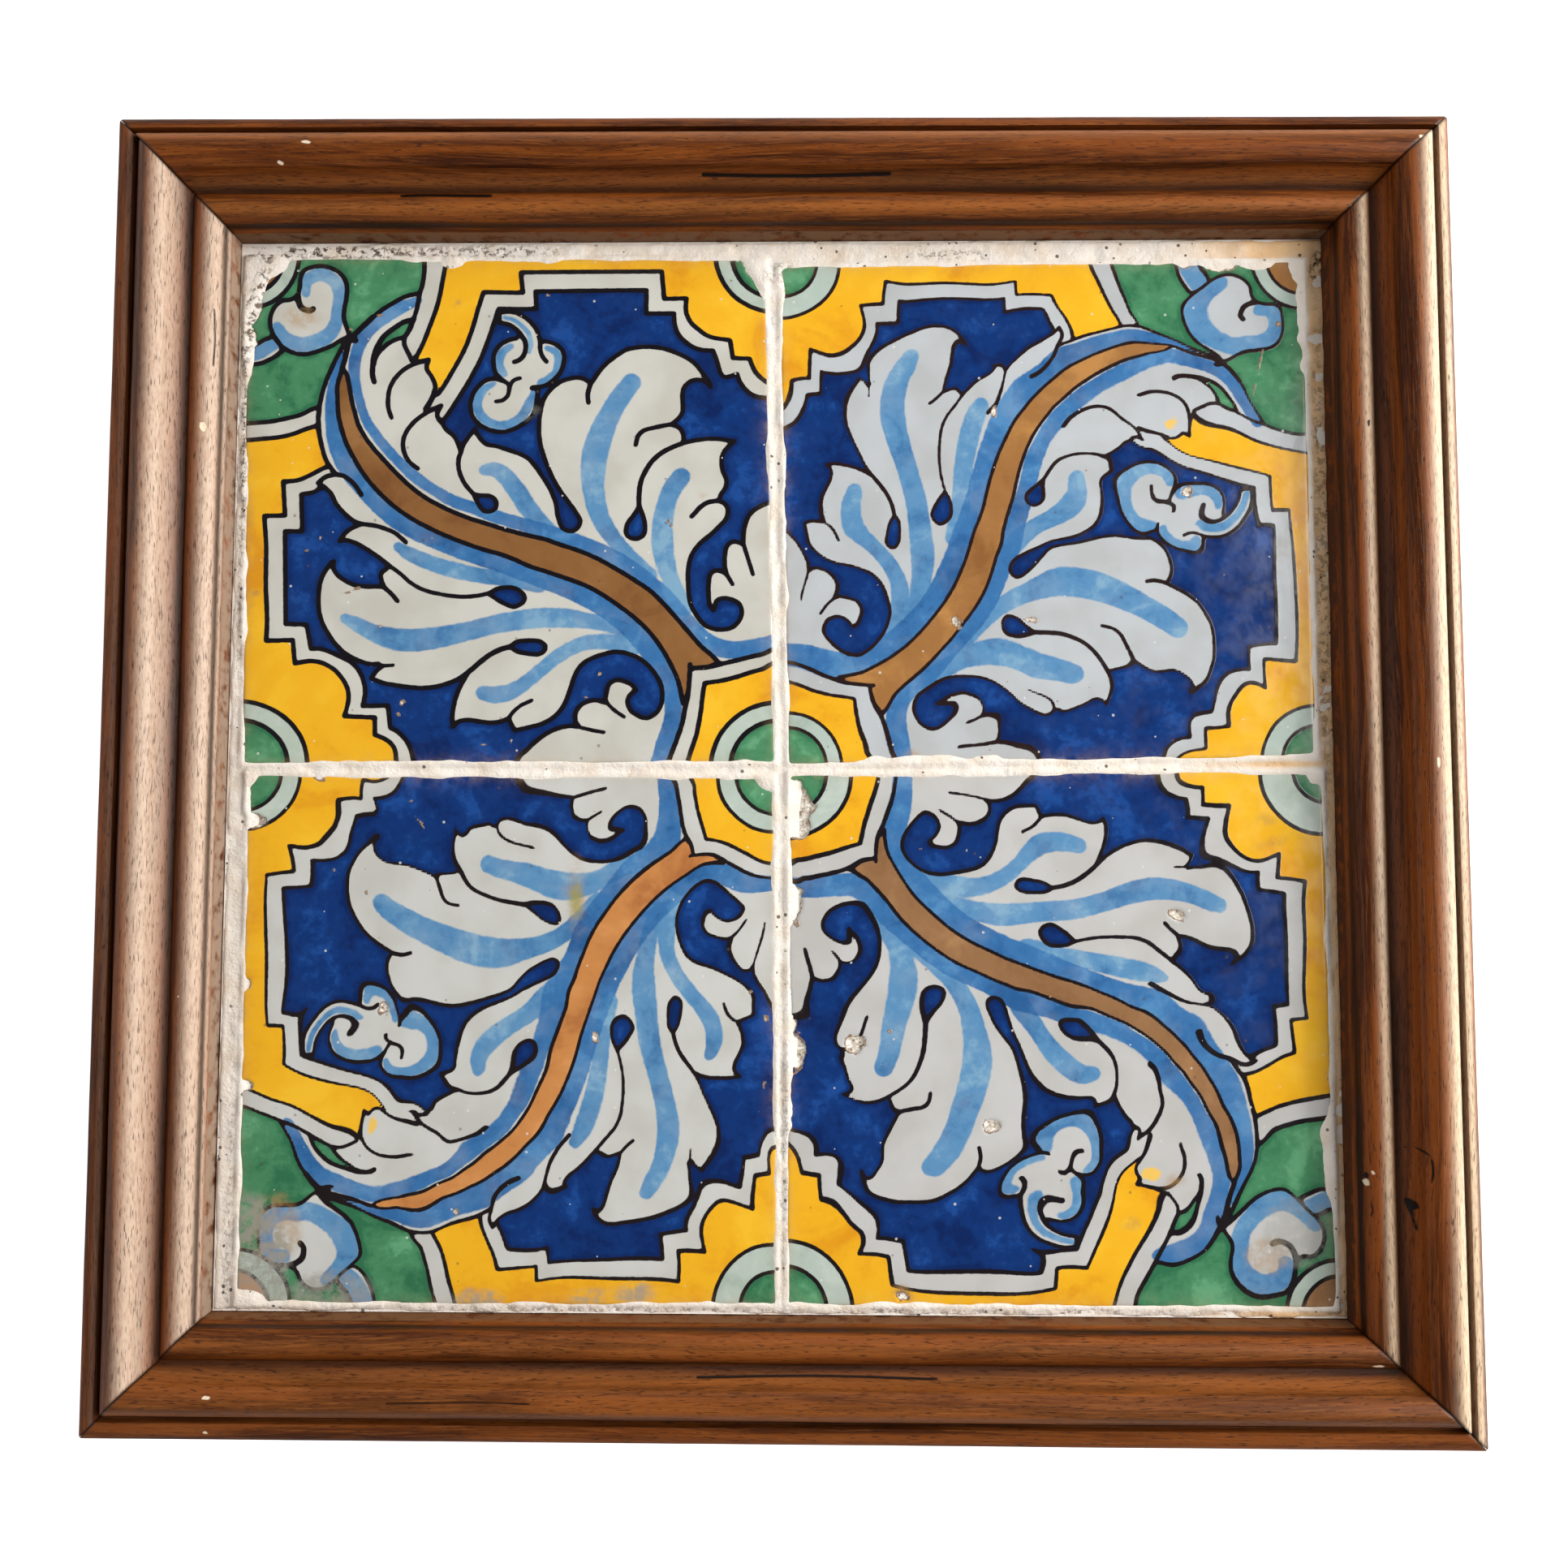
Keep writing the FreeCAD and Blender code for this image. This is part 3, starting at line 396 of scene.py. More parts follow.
# The same spots of the painting on the four tiles, each laid out as the motif:
# top left, top right, bottom right, bottom left
LANDMARKS = """
-17.8 63.4 -17.3 61.5 -15.9 61.4 -16.5 61.4 / -18.9 57.7 -19.1 56 -18.8 55.8 -18.1 56.1
-22.4 47.4 -23.2 46 -25.1 44.5 -23.6 45.4 / -25.2 41.7 -26.9 39.4 -26.8 39.8 -26.6 38.4
-21.2 42 -20.3 38.4 -19.5 37.8 -19.2 37 / -19.6 32.4 -20.4 32 -20.4 31.7 -19.3 32
-22.5 67.2 -21 66.5 -19.2 66.4 -18.7 67.3 / -22.9 63.4 -22.4 61.5 -22.3 60.8 -20.8 62
-23.7 60.7 -23.6 58.5 -24 57.6 -22 58.9 / -25.2 53.3 -27.1 51.4 -27.8 50.1 -25.4 51.4
-34.7 45.9 -36.3 44 -35.1 42.4 -34.6 41.1 / -35.5 35.7 -36.6 34.6 -35.4 35.2 -34.5 34
-30.9 25.8 -32.1 25.6 -30.9 27.9 -30.8 25.1 / -17.8 29.2 -19.4 25.6 -20.2 25.7 -19.3 24.2
-17.4 24.5 -19.2 23.2 -18.9 23.6 -19.3 20.8 / -14.1 30 -16.9 28.3 -17.5 28.9 -17 27.9
-7.4 42.5 -10.6 41 -10.4 40.4 -9.6 39.2 / -2.9 56.3 -6.1 55.1 -4.4 54.5 -5.1 53.6
-6.7 61 -9.2 59.3 -6.7 59.2 -7.2 58.1 / 3.5 60.8 0.2 59.5 0.8 59.2 2.7 58.4
2.9 66.6 0.2 64 1.2 64.4 2.8 62.5 / 7.1 56.2 4.3 56.1 4.4 55.5 5.6 53.9
6.8 61.2 4.6 59.8 5 60.6 6.3 58.6 / 36 61.6 37.2 59.2 38.4 60.1 39.3 58.9
35.9 55 38 52 39.6 52.5 39.8 51.4 / 43.2 55 44.2 52 46 51.7 46.6 51.3
40 66.9 42 64.2 42.4 63.8 42.7 63.3 / 40.6 59.1 41.3 55.8 43.3 56.5 43.6 56.1
46.5 59.3 49.2 55.9 50.8 55.8 50.5 57.5 / 49.9 50.3 50.4 48.6 52.3 48.6 53.3 47.6
57.9 47.5 59.6 46.1 60.4 41.8 62.8 44.8 / 58.6 42.5 60 39.8 60.8 35.8 63.1 38.6
63 42.3 65.8 39.8 65.2 35 68.3 38.3 / 68.5 35 68 32.6 69.2 27 69.3 31.1
50.2 44.8 50.5 43 52.4 40.8 51.1 41.7 / 53.4 44.6 55.8 41.6 55.8 37.9 58.6 39.8
56 37.3 57.4 36.4 55.7 31.4 59.6 34.6 / 59.7 38 62.7 35.9 61.6 30.4 63.3 35.4
65.4 31.6 66.8 29.2 65.2 24.8 66.8 28.9 / 36.8 45.6 38.5 42.9 38 42.5 41.3 42
25.8 41.2 25.8 39.1 25.5 38.9 28 37.7 / 21.4 35.5 20.4 31.2 20.4 33.8 22.1 30.4
52.8 34.4 50 36.4 49.6 35.6 53 34.2 / 47.4 35.9 45.6 34.9 46.4 34.5 48 34.2
45.4 27.3 44.6 27 44.4 27.3 45.3 26.1 / 42.5 23.9 41.4 21.7 40.2 19.2 42.1 18.6
45.5 21.6 43.5 18.6 42.1 17.6 43.1 17 / 45.8 18.8 44.6 14.8 43.1 15.4 43.9 12.3
59 19.2 53.5 14.2 54.6 14.8 54.9 13.8 / 56 10.8 53.3 8.9 53.4 11.1 55.4 10.4
56.9 8.5 55 4.5 54.2 7.3 56.1 6.1 / 55 2.6 54.9 0.6 55 3.2 56 3.3
47.8 -1.7 49.7 -6 48.5 -5.2 50.2 -6.4 / 56.7 -2.5 54.6 -5.5 54.9 -4.2 56.3 -4.9
52.8 -6.7 51 -10.2 52.4 -9.9 53.6 -12.1 / 46.9 -18 45.8 -22.5 45.2 -22 46.6 -22.4
56.2 -32.8 55.2 -36.3 54.2 -34.9 55.5 -35.8 / 60.9 -28.1 60.1 -31.9 59.6 -29.9 61.1 -33
53.5 -27.6 53.3 -30 53 -28.3 55 -29.9 / 52.2 -23 50.2 -23.6 49.8 -23 51.8 -24.3
53.9 -16.6 53.6 -18.3 53.3 -19.6 55.2 -20.8 / 56.9 -17.7 56.5 -18.4 55 -19.9 57.5 -20.6
58.1 -8.8 59.5 -14.2 58.6 -15 60.5 -16.8 / 61.3 -9.4 63.6 -14.6 62.3 -15.5 63.6 -16.8
63.8 -17.7 65 -24.9 64.3 -23.3 66.1 -25.5 / 62.4 -2.1 65.2 -7.7 64.1 -8.9 65.2 -8
66.1 1.3 67.7 -3.9 65.8 -5.5 68.3 -2.7 / 7.9 22 7.3 18.9 8.9 20.8 8.6 17.6
13.6 5.2 10.6 0.5 11.3 2.7 12.9 -1.4 / 16.5 -5.8 16.4 -10.2 15.8 -10.4 18.9 -13
18.7 -2.8 18.6 -7.7 17.7 -8.3 20.6 -11.4 / 12.8 -1.3 11.2 -4.5 12.1 -4.2 13.6 -6.1
33 -7.8 31.2 -12.4 30.8 -13.2 31.8 -13.3 / 37.6 13.8 36.8 9 36.9 10.6 38.9 8.9
-9 22.6 -10.7 17.4 -9.6 17.5 -9.6 17 / -5.8 18.3 -8 14.5 -8.3 15.6 -7.9 13.6
-12.6 16.2 -14.9 15.6 -14.3 14.6 -13.8 12.3 / -13.2 12 -15.7 9 -15.1 9.5 -14.8 8.6
-11.1 6.7 -13.4 2.8 -13.6 4.2 -13.6 2.9 / -9.2 4.6 -8.5 -0.6 -10.4 0.8 -9.5 -0.8
-5 -0.2 -2.8 -5.2 -2.9 -4.4 -2.6 -7.3 / -3.3 1.5 -1.3 -3.4 -0.9 -3.3 -0.9 -5.5
-14.5 20.7 -17.3 19.6 -17 20.1 -17 18.6 / 5.2 14.3 4.3 12.5 3.3 13.3 4.3 10.4
8.6 9.7 7.3 7.4 6.9 9.2 7.4 6.7 / -4.2 41.4 -7.2 40 -5.8 39.6 -6.7 38
-10.1 30.3 -13.3 28.3 -10.6 28.9 -10.4 27.3 / -2.3 21.8 -1.6 19.2 -2.4 20 -1.7 17.3
14.4 42 11.5 37 14.8 38 13.9 35 / 8.1 47.3 7.4 41.2 9.9 40.8 8.3 38.6
7.2 50.1 7.6 45.5 9.4 45.1 9.3 43.6 / 3.4 54.3 2.6 52 4.9 52.1 5.2 49.8
7.6 34.3 5.4 29 4.4 29.6 4.3 27.9 / 6.8 28.1 6.7 25.4 6.6 26.7 8.1 24.8
-3.5 30.3 -6.7 27.9 -6.4 29.3 -5.8 27.5 / -1.2 35.9 -4.5 33.1 -4.5 35.1 -3.6 31.4
0.1 34.9 -2 32.3 -2.8 33.8 -1.4 30.4 / 1.3 41.4 -1.4 41.7 -1 42.3 0.8 41.4
-49.7 68.3 -52 64.3 -49.8 66.4 -50.4 64 / -42.9 62.3 -45.2 60.1 -42.9 58.6 -44.2 59.5
-55.4 62.3 -57.7 59.6 -59.2 59.5 -59.6 58.6 / -60 58.5 -62.6 55.9 -63.6 56.1 -63.3 52.9
-63.2 52 -66 49 -66.5 48.9 -65.5 47 / -55.4 43.5 -57 37.7 -57 39 -57 37.5
-49.7 44.6 -50 39 -50.1 40.8 -48.9 39.6 / -46.7 45.9 -46.8 41.4 -47 43.6 -46.1 42.6
-62.3 42.5 -62.8 38.5 -62.6 40.3 -60.8 37.3 / -68.3 40.6 -69 36.4 -68.3 38.8 -67.6 33.9
-42 48.5 -41.4 48.1 -41.1 48.9 -40.4 48.9 / -36.4 53.5 -36.2 52 -37.3 53.9 -36.1 51.7
-30.7 57.9 -30.5 54.6 -32 57.3 -31.4 54.5 / -27.7 59.6 -28 55.9 -28.3 58.4 -27.6 55.7
-50 28.7 -51.5 25.8 -50.3 27.8 -50.8 24.7 / -65.3 24.4 -66.3 20 -65.1 21.1 -64.2 19.4
-50.4 23.6 -51.7 21.2 -50.1 20.4 -51.1 18.9 / -53.5 22.6 -53.5 20.4 -52.6 19.2 -52.6 18.1
-68.9 19.5 -69.3 13.3 -69.2 14.9 -67.6 13.3 / -47.3 12.3 -47.7 8.3 -47 9.6 -46.5 6.7
-59.3 8.1 -60.3 2.8 -60.3 3.9 -60.4 2.1 / -54.5 4.5 -56.4 0.6 -55.6 2 -55.1 -0.5
-48.2 6.4 -49.3 3 -47.9 4.6 -47.3 2.1 / -45.9 9.9 -46.5 4.1 -44.5 5.4 -45.1 3.6
-38.7 4.3 -37.2 -3.3 -36.1 -1.8 -36.7 -3.5 / -27.8 17.2 -28.8 13 -25.9 13.6 -27 12.9
-23.9 11.6 -23.1 4.9 -23.3 6.7 -23.4 5.1 / -24.6 25 -25.3 20.6 -25 20.9 -25.3 17.5
-64.3 -1.4 -64.3 -6.7 -63.7 -5 -63.3 -8 / -58.7 -1.4 -60.4 -6.6 -59.5 -4.6 -59.5 -8
-58.7 -5.7 -59.4 -9.8 -58.9 -8.6 -58.6 -11.1 / -54.1 -5.7 -55.6 -9.8 -55.3 -8.1 -54.8 -10.8
-38.5 -3.7 -38.9 -10 -38.3 -8.5 -38.3 -9.8 / -44.4 -8.4 -40.3 -12.8 -38.6 -11.4 -38.8 -15.3
-36.8 -10.9 -36.7 -17 -35.1 -14.6 -34.2 -18.6 / -31.1 -15.2 -32.3 -21.5 -29.5 -19.9 -29.5 -23
-29.6 -6.3 -29.5 -12.8 -26.9 -12.5 -28.1 -14.1 / -33.4 -18 -33.8 -24 -31.7 -23.9 -30.8 -26.8
-40.6 -20.4 -41 -24.4 -39.8 -23.3 -37.9 -26.9 / -45.9 -14 -47 -20.7 -45.8 -19.9 -45.3 -22.7
-49.6 -24.5 -51.4 -30 -50 -29.3 -47.9 -30.5 / -36 -42.1 -37.2 -46.5 -35.4 -44.4 -34.8 -47.3
-33.2 -42.9 -34.9 -46.9 -33.9 -44.9 -32 -47.8 / -35.7 -45.9 -37 -48.8 -35.1 -47.4 -34.5 -50.4
-24 -48.5 -24.5 -52.8 -23.4 -51.6 -23.3 -54.7 / -10.1 -44 -9.5 -45.8 -10.4 -44.6 -8.9 -48.3
-13.9 -52.4 -12.5 -52.7 -13.3 -53 -10.4 -53.6 / -14.3 -59.6 -12.9 -58.6 -12.6 -57.7 -10.1 -60.8
-4.4 -58.1 -3.9 -59.6 -3.3 -58.3 -1.4 -61.3 / 0.2 -56.9 3.3 -59 3.3 -57.9 4.3 -59.6
6.2 -52 8.5 -55.3 8.3 -53.8 9.1 -56.1 / 1.9 -60.2 3.4 -64.5 4.6 -60.8 6.1 -63.9
4.7 -65.7 7.1 -67.8 6.8 -67.4 8.3 -68.6 / -24.8 -67.2 -23.3 -68.7 -26.9 -68.6 -23.9 -68.9
-26.9 -62.3 -26.6 -65 -28.9 -64.3 -25.4 -66.8 / -30.7 -59.4 -32.2 -63 -33.9 -62.4 -30.4 -65.2
-31.3 -53.3 -32.7 -59.6 -34.5 -57.7 -31.1 -61.4 / -37.9 -53.5 -38.8 -59.1 -39.5 -57.1 -38.9 -60.2
-41 -41.7 -41.3 -48 -41.7 -46.8 -41.1 -49.6 / -51.6 -37.9 -52.3 -44.1 -51.9 -43.1 -50.1 -46.4
-52.8 -31.3 -52.6 -38.3 -52 -38.6 -51.1 -39.9 / -58.3 -31.1 -58.7 -38 -58.6 -37.6 -57.5 -40.5
-63 -35.7 -64 -41.6 -63.6 -40.8 -62.8 -44.6 / -56.4 -35.5 -58 -42.3 -57 -41.6 -55.4 -44.4
-55.8 -41.9 -57.6 -48.4 -57.5 -48 -55.6 -51.3 / -51.2 -41.2 -52.5 -47.4 -52.6 -46.1 -50.4 -50.4
-45.2 -43.8 -47 -49.7 -47 -48.3 -45.4 -52.1 / -41.8 -51 -43.8 -57 -44.2 -54.3 -42.5 -56.8
-42.7 -56.2 -45.2 -62 -45.1 -60.7 -44.5 -63.6 / -34.7 -56.6 -37 -62.4 -38.3 -61 -35.8 -64.1
-34.7 -61.3 -36.4 -67.2 -38.3 -65.5 -35.1 -68 / -30.3 -63.8 -29.5 -69 -32.9 -66.8 -29.5 -68
4.3 -24.3 3.8 -28.4 3.9 -27.7 5.6 -30.4 / -5.2 -22.8 -5.3 -26.8 -5 -25 -3.4 -28.6
9.7 -37.5 10.4 -40.9 9.9 -39.6 10.5 -43.5 / 18.8 -53.5 17.6 -57.6 17.7 -57.5 18.9 -59.9
18.6 -59.2 16.8 -63.4 17.5 -62.4 18.9 -63.6 / 25 -60.7 24.9 -65.6 26.9 -64.3 30.4 -66.8
10 -61.1 9.5 -66 10.5 -63.6 12.1 -66.8 / 27.3 -38.9 27.4 -42.1 27.4 -42.9 29.3 -43.9
38.3 -44.8 38.7 -48.2 37.9 -47.1 39.6 -48.3 / 36 -57.1 33.6 -59.9 33.3 -59.3 34.6 -61.4
16.1 -49.3 15.2 -52.3 14.8 -51.6 18.3 -53.6 / 40.2 -50.9 39.7 -52.6 38.9 -51.8 41.4 -53.1
47.4 -42.1 48.2 -46.5 45.8 -45.8 48 -47.1 / 55 -41.9 56.1 -44.6 52.4 -44.1 52.7 -46.1
51 -47.1 51.6 -51.6 49.6 -50.6 52.3 -51.3 / 45.6 -53 46 -56.1 43.6 -54.6 46.1 -56.1
68.9 -38.3 69.6 -40.5 65.8 -40.8 69.3 -42.5 / 59.6 -41.2 60.2 -43.7 60.9 -42.3 60.8 -44.8
68.7 -42.1 69 -47.2 68 -45.6 69.3 -47.4 / 59.6 -45.7 60 -50.7 60.5 -47.7 60.5 -49.3
46.9 -68.3 47.4 -68.2 45 -68.8 46.1 -68 / 44 -62.6 43.5 -63.8 41.3 -63.6 42.9 -64.1
-45.2 34.9 -46.3 31.7 -45.7 33.7 -44.7 31.7 / -45.2 31.1 -46.5 28.6 -45.7 30.9 -44.4 28.2
-42.9 19 -44.2 15.3 -41.8 17.6 -42 16.5 / -40.6 14.2 -41 8.6 -38.5 10.6 -39.1 9.5
-37.9 9.7 -36.8 2.9 -34.5 4.9 -35.6 3.4 / -34.5 5.5 -32.4 -1.8 -30.7 0.3 -32 -1.5
-30.7 1.7 -28.5 -5.1 -27.1 -3.1 -28.4 -4.9 / -22 -4.2 -20.8 -10 -19.1 -7.9 -20.4 -10.7
-13.4 -8.2 -12.1 -13.7 -11.2 -11.7 -11.5 -15.4 / 5.6 -15.4 5.6 -19.2 6.2 -18 8 -21.6
13.2 -18 12.9 -21.5 12.8 -20.6 15.1 -24 / 20.8 -21 20.3 -24.7 19.8 -24 21.9 -27.2
29.2 -26.5 28.6 -30 27.8 -29.1 29.9 -32.4 / 36.8 -33.4 37 -37.6 36.1 -37.1 37.9 -39.6
42.1 -41.7 42.8 -46.1 41.3 -45.5 43.2 -46.7 / -42 37.9 -44.6 33.4 -42.4 36.1 -42.7 33.5
-41.4 30.3 -44 28.8 -42.2 30.9 -42.1 28.4 / -39.5 23.5 -41.5 20.9 -39.8 22 -40 20.6
-36.8 18.8 -38.3 14.6 -36.3 15.1 -36.9 14 / -33.2 14.4 -33.9 8.1 -31.9 8.6 -32.7 8
-29.2 10 -28.5 2.3 -27.6 3.6 -28.3 2.7 / -25.4 6.3 -24 -1.1 -24.1 0.5 -24.9 -1.2
-17.4 1 -16.9 -5 -17.4 -3.9 -17.9 -6.1 / -9.6 -2.4 -7.6 -7.9 -8.9 -7.6 -8.4 -10.3
5.6 -7 5.8 -11.7 6.7 -12.1 8.1 -15.4 / 13.2 -9.3 13 -13.7 13 -13.9 15.5 -17.5
20.8 -12.1 20.4 -16.1 19.6 -16.8 22.3 -19.8 / 28.4 -16.3 26.9 -19.5 26.2 -19.9 28.2 -22.3
36.8 -22 35.6 -26.1 35 -26.5 36.5 -27.9 / 44.4 -30.3 44.2 -34.1 42.7 -35.3 44.5 -35.8
"""

# Chips and pits of each tile, laid out as the motif: place, half length, half width, lean, depth
MARKS = {
    "tile_top_left": [
        (-72.0, 60.0, 19.5, 5.6, 90, 1.6), (-69.0, 74.5, 13.0, 6.0, 0, 1.6),
        (66.0, 70.0, 9.0, 5.0, -52, 1.2), (-41.0, -21.9, 2.4, 0.35, 22, 0.25),
        (-33.4, -31.9, 0.8, 0.6, 0, 0.2), (-27.6, -52.6, 0.9, 0.8, 0, 0.35),
        (-28.7, -55.7, 0.5, 0.5, 0, 0.3), (-6.5, -64.0, 0.7, 0.5, 0, 0.3),
        (0.8, -63.0, 0.5, 0.5, 0, 0.3), (23.9, -44.9, 0.6, 0.5, 0, 0.3),
        (20.5, -51.2, 0.5, 0.4, 0, 0.3), (10.0, 60.4, 0.6, 0.4, 0, 0.3),
        (-49.4, -7.6, 0.5, 0.5, 0, 0.3), (-53.0, -10.9, 0.5, 0.4, 0, 0.3),
        (41.5, -3.2, 0.7, 0.4, 30, 0.3), (42.6, -4.2, 0.4, 0.4, 0, 0.3),
        (-41.7, 50.5, 0.6, 0.4, 0, 0.3), (-34.2, 54.3, 0.5, 0.4, 0, 0.3),
        (-31.0, -69.6, 4.5, 1.0, 0, 0.5), (-17.0, -69.8, 3.0, 0.7, 0, 0.4),
        (12.0, -69.8, 8.0, 0.6, 0, 0.4), (-69.9, -8.0, 7.0, 0.5, 90, 0.4),
        (-14.5, 70.6, 2.4, 1.6, 0, 0.7), (12.5, 70.8, 4.2, 1.0, 0, 0.7),
    ],
    "tile_top_right": [
        (-52.0, 63.2, 0.7, 0.6, 0, 0.4), (-39.8, 57.6, 4.8, 0.3, -14, 0.2),
        (30.2, -25.2, 2.6, 1.8, 20, 0.6), (-4.8, 37.0, 1.6, 1.2, 30, 0.4),
        (-27.5, -13.3, 1.9, 0.9, 0, 0.3), (30.2, -4.5, 1.9, 0.9, 80, 0.35),
        (69.8, 14.0, 7.0, 0.9, 90, 0.5), (69.2, -36.3, 1.4, 1.1, 0, 0.6),
        (-69.0, 48.4, 3.4, 1.5, 90, 0.5), (-69.6, 39.0, 3.0, 1.2, 90, 0.5),
        (-60.0, 69.8, 4.0, 0.8, 0, 0.5), (20.0, 69.9, 5.0, 0.5, 0, 0.4),
    ],
    "tile_bottom_right": [
        (16.5, 23.0, 1.9, 1.5, 0, 0.5), (51.0, 1.4, 2.9, 1.9, 20, 0.6), (48.6, 2.2, 0.6, 0.6, 0, 0.4),
        (42.5, -1.5, 0.7, 0.6, 0, 0.4), (-31.0, -32.0, 2.2, 1.3, -35, 0.5),
        (66.6, -60.0, 7.4, 4.6, 86, 0.7), (67.8, -35.0, 5.4, 3.2, 90, 0.6),
        (69.2, -4.0, 12.5, 2.2, 88, 0.6), (66.8, 4.5, 5.4, 3.2, 84, 0.6),
        (-69.4, 28.5, 4.8, 1.3, 90, 0.5), (40.0, 66.5, 1.3, 1.0, 0, 0.6),
        (-68.9, 32.0, 1.2, 0.9, 0, 0.5), (1.5, -10.7, 0.4, 0.4, 0, 0.3),
        (22.5, -49.0, 0.4, 0.4, 0, 0.3), (34.5, -49.5, 0.4, 0.4, 0, 0.3),
        (-20.0, 69.8, 9.0, 0.6, 0, 0.4), (30.0, 69.9, 6.0, 0.5, 0, 0.4),
    ],
    "tile_bottom_left": [
        (8.0, 32.3, 2.0, 1.3, 20, 0.5), (-45.5, 13.0, 1.7, 1.1, 0, 0.4),
        (0.2, -22.8, 1.2, 1.0, 0, 0.4), (56.5, 23.0, 1.6, 0.3, 40, 0.2),
        (62.5, 25.5, 0.6, 0.5, 0, 0.35), (44.0, 45.5, 0.6, 0.5, 0, 0.35),
        (38.0, 37.0, 0.6, 0.5, 0, 0.35), (69.6, 18.0, 3.0, 0.8, 90, 0.5),
        (13.6, 68.6, 1.7, 1.3, 0, 0.7), (56.8, 67.6, 2.6, 1.9, 80, 0.7),
        (-12.9, 68.4, 2.2, 1.5, 80, 0.7), (68.5, 50.0, 1.3, 0.7, 80, 0.5),
        (-20.0, -65.0, 0.6, 0.4, 0, 0.3), (-12.0, -66.5, 0.8, 0.4, 0, 0.3),
        (-4.0, -64.0, 0.5, 0.4, 0, 0.3), (5.0, -67.0, 0.8, 0.5, 0, 0.3),
        (12.0, -63.0, 0.6, 0.4, 0, 0.3), (-69.6, 30.0, 12.0, 0.7, 90, 0.4),
    ],
}

# Stains and worn glaze of each tile, laid out as the motif: place, half length, half width, lean,
# strength, brown (1) or grey (0)
STAINS = {
    "tile_top_left": [
        (-55.0, 54.0, 4.5, 3.0, 0, 0.5, 1), (-13.7, 58.0, 0.7, 0.6, 0, 0.9, 1),
        (-66.3, -22.8, 0.7, 0.6, 0, 0.9, 1), (51.0, 4.0, 0.6, 0.5, 0, 0.8, 1),
        (5.0, 27.0, 2.4, 1.2, 20, 0.5, 0), (-69.0, -10.0, 26.0, 1.6, 90, 0.35, 1),
    ],
    "tile_top_right": [
        (10.0, 62.0, 3.0, 2.0, 0, 0.4, 0), (68.5, -36.5, 2.6, 2.0, 0, 0.6, 1),
    ],
    "tile_bottom_right": [
        (-29.0, 37.0, 2.4, 1.6, 30, 0.5, 1), (-18.0, 48.0, 2.0, 1.4, 0, 0.45, 1),
        (-56.0, -51.0, 4.0, 1.4, 20, 0.45, 1), (-54.0, -57.0, 3.0, 1.2, 0, 0.4, 1),
        (-52.0, 56.0, 5.5, 4.5, 0, 0.45, 1), (40.0, 66.0, 2.2, 1.8, 0, 0.8, 1),
        (-60.0, 50.0, 9.0, 9.0, 0, 0.35, 0),
    ],
    "tile_bottom_left": [
        (-58.0, 65.0, 17.0, 9.0, 8, 0.85, 0), (-66.0, 45.0, 10.0, 5.0, 90, 0.7, 0),
        (-50.0, 60.0, 9.0, 7.0, 0, 0.5, 1), (-68.0, 7.0, 6.0, 2.4, 90, 0.8, 0),
        (-67.5, -22.0, 4.0, 2.4, 90, 0.75, 0), (-66.5, -33.0, 5.5, 2.6, 90, 0.8, 0),
        (37.0, -17.5, 9.0, 2.6, 0, 0.3, 1),
    ],
}

# How much broader the blue strokes are on each tile, to each side
BROADER = {
    "tile_top_left": {"pale": -0.1, "shade": 0.0},
    "tile_top_right": {"pale": 0.35, "shade": 0.55},
    "tile_bottom_right": {"pale": 0.2, "shade": 0.6},
    "tile_bottom_left": {"pale": 0.12, "shade": 0.45},
}

# Where yellow ran over a leaf's tip
SPILLS = {
    "tile_top_right": [(-23.2, 34.3, 2.0, 1.3, 120)],
    "tile_bottom_right": [(-23.8, 36.5, 2.6, 1.9, 60)],
    "tile_bottom_left": [(-23.8, 37.0, 1.7, 1.0, 110)],
}

# A slip of olive yellow over the blue
DABS = {"tile_bottom_left": [(36.5, -17.7, 4.2, 1.6, 0)]}

# The plaster's net, and its top against the tiles' faces: how far the joints lie below and how
# rough they are; how far a lap over the glaze stands up, how rough it is, how fast it thins
# inwards, what it gains where it is thick, how far below the face its edge goes; how far the top
# dips along the rails
PLASTER_STEP = 0.72
JOINT_SUNK = 0.35
JOINT_ROUGH = 0.30
LAP_UP = 0.10
LAP_ROUGH = 0.22
LAP_THINS = 0.30
LAP_GAINS = 0.25
LAP_ENDS = 1.4
RAIL_DIP = 0.5

# Where the plaster was smeared over a tile's edge, in the panel: place, half length, half width,
# lean
LAPS = [
    (-145.0, 127.0, 14.0, 3.4, 70), (-143.5, 138.0, 9.0, 6.0, 20), (-145.6, 112.0, 12.0, 1.5, 92),
    (-89.2, 138.6, 2.4, 2.6, 0), (-62.4, 139.4, 4.6, 2.0, 0), (-5.2, 134.0, 8.5, 3.2, -58),
    (-1.4, 139.0, 6.0, 3.6, 0), (116.0, 137.2, 5.0, 1.6, 0), (128.0, 136.6, 6.5, 2.6, -8),
    (140.6, 136.0, 4.6, 3.2, 60), (142.4, 122.0, 14.0, 2.6, 86), (143.6, -99.0, 9.5, 2.2, 92),
    (145.4, -138.5, 3.6, 1.8, 90), (-2.6, -3.6, 3.4, 2.4, -35), (1.6, -8.6, 3.6, 1.5, 80),
    (-141.8, -3.2, 2.6, 2.2, 0), (-142.2, -11.5, 6.0, 0.9, 90), (142.2, -0.6, 3.0, 3.4, 20),
    (-141.8, -140.6, 8.0, 3.6, -8), (-36.0, -0.8, 5.0, 0.9, 0), (-115.0, -0.9, 6.0, 0.8, 0),
    (40.0, 0.6, 9.0, 0.8, 0), (0.2, 60.0, 14.0, 0.7, 90), (2.0, -74.0, 12.0, 0.8, 90),
]

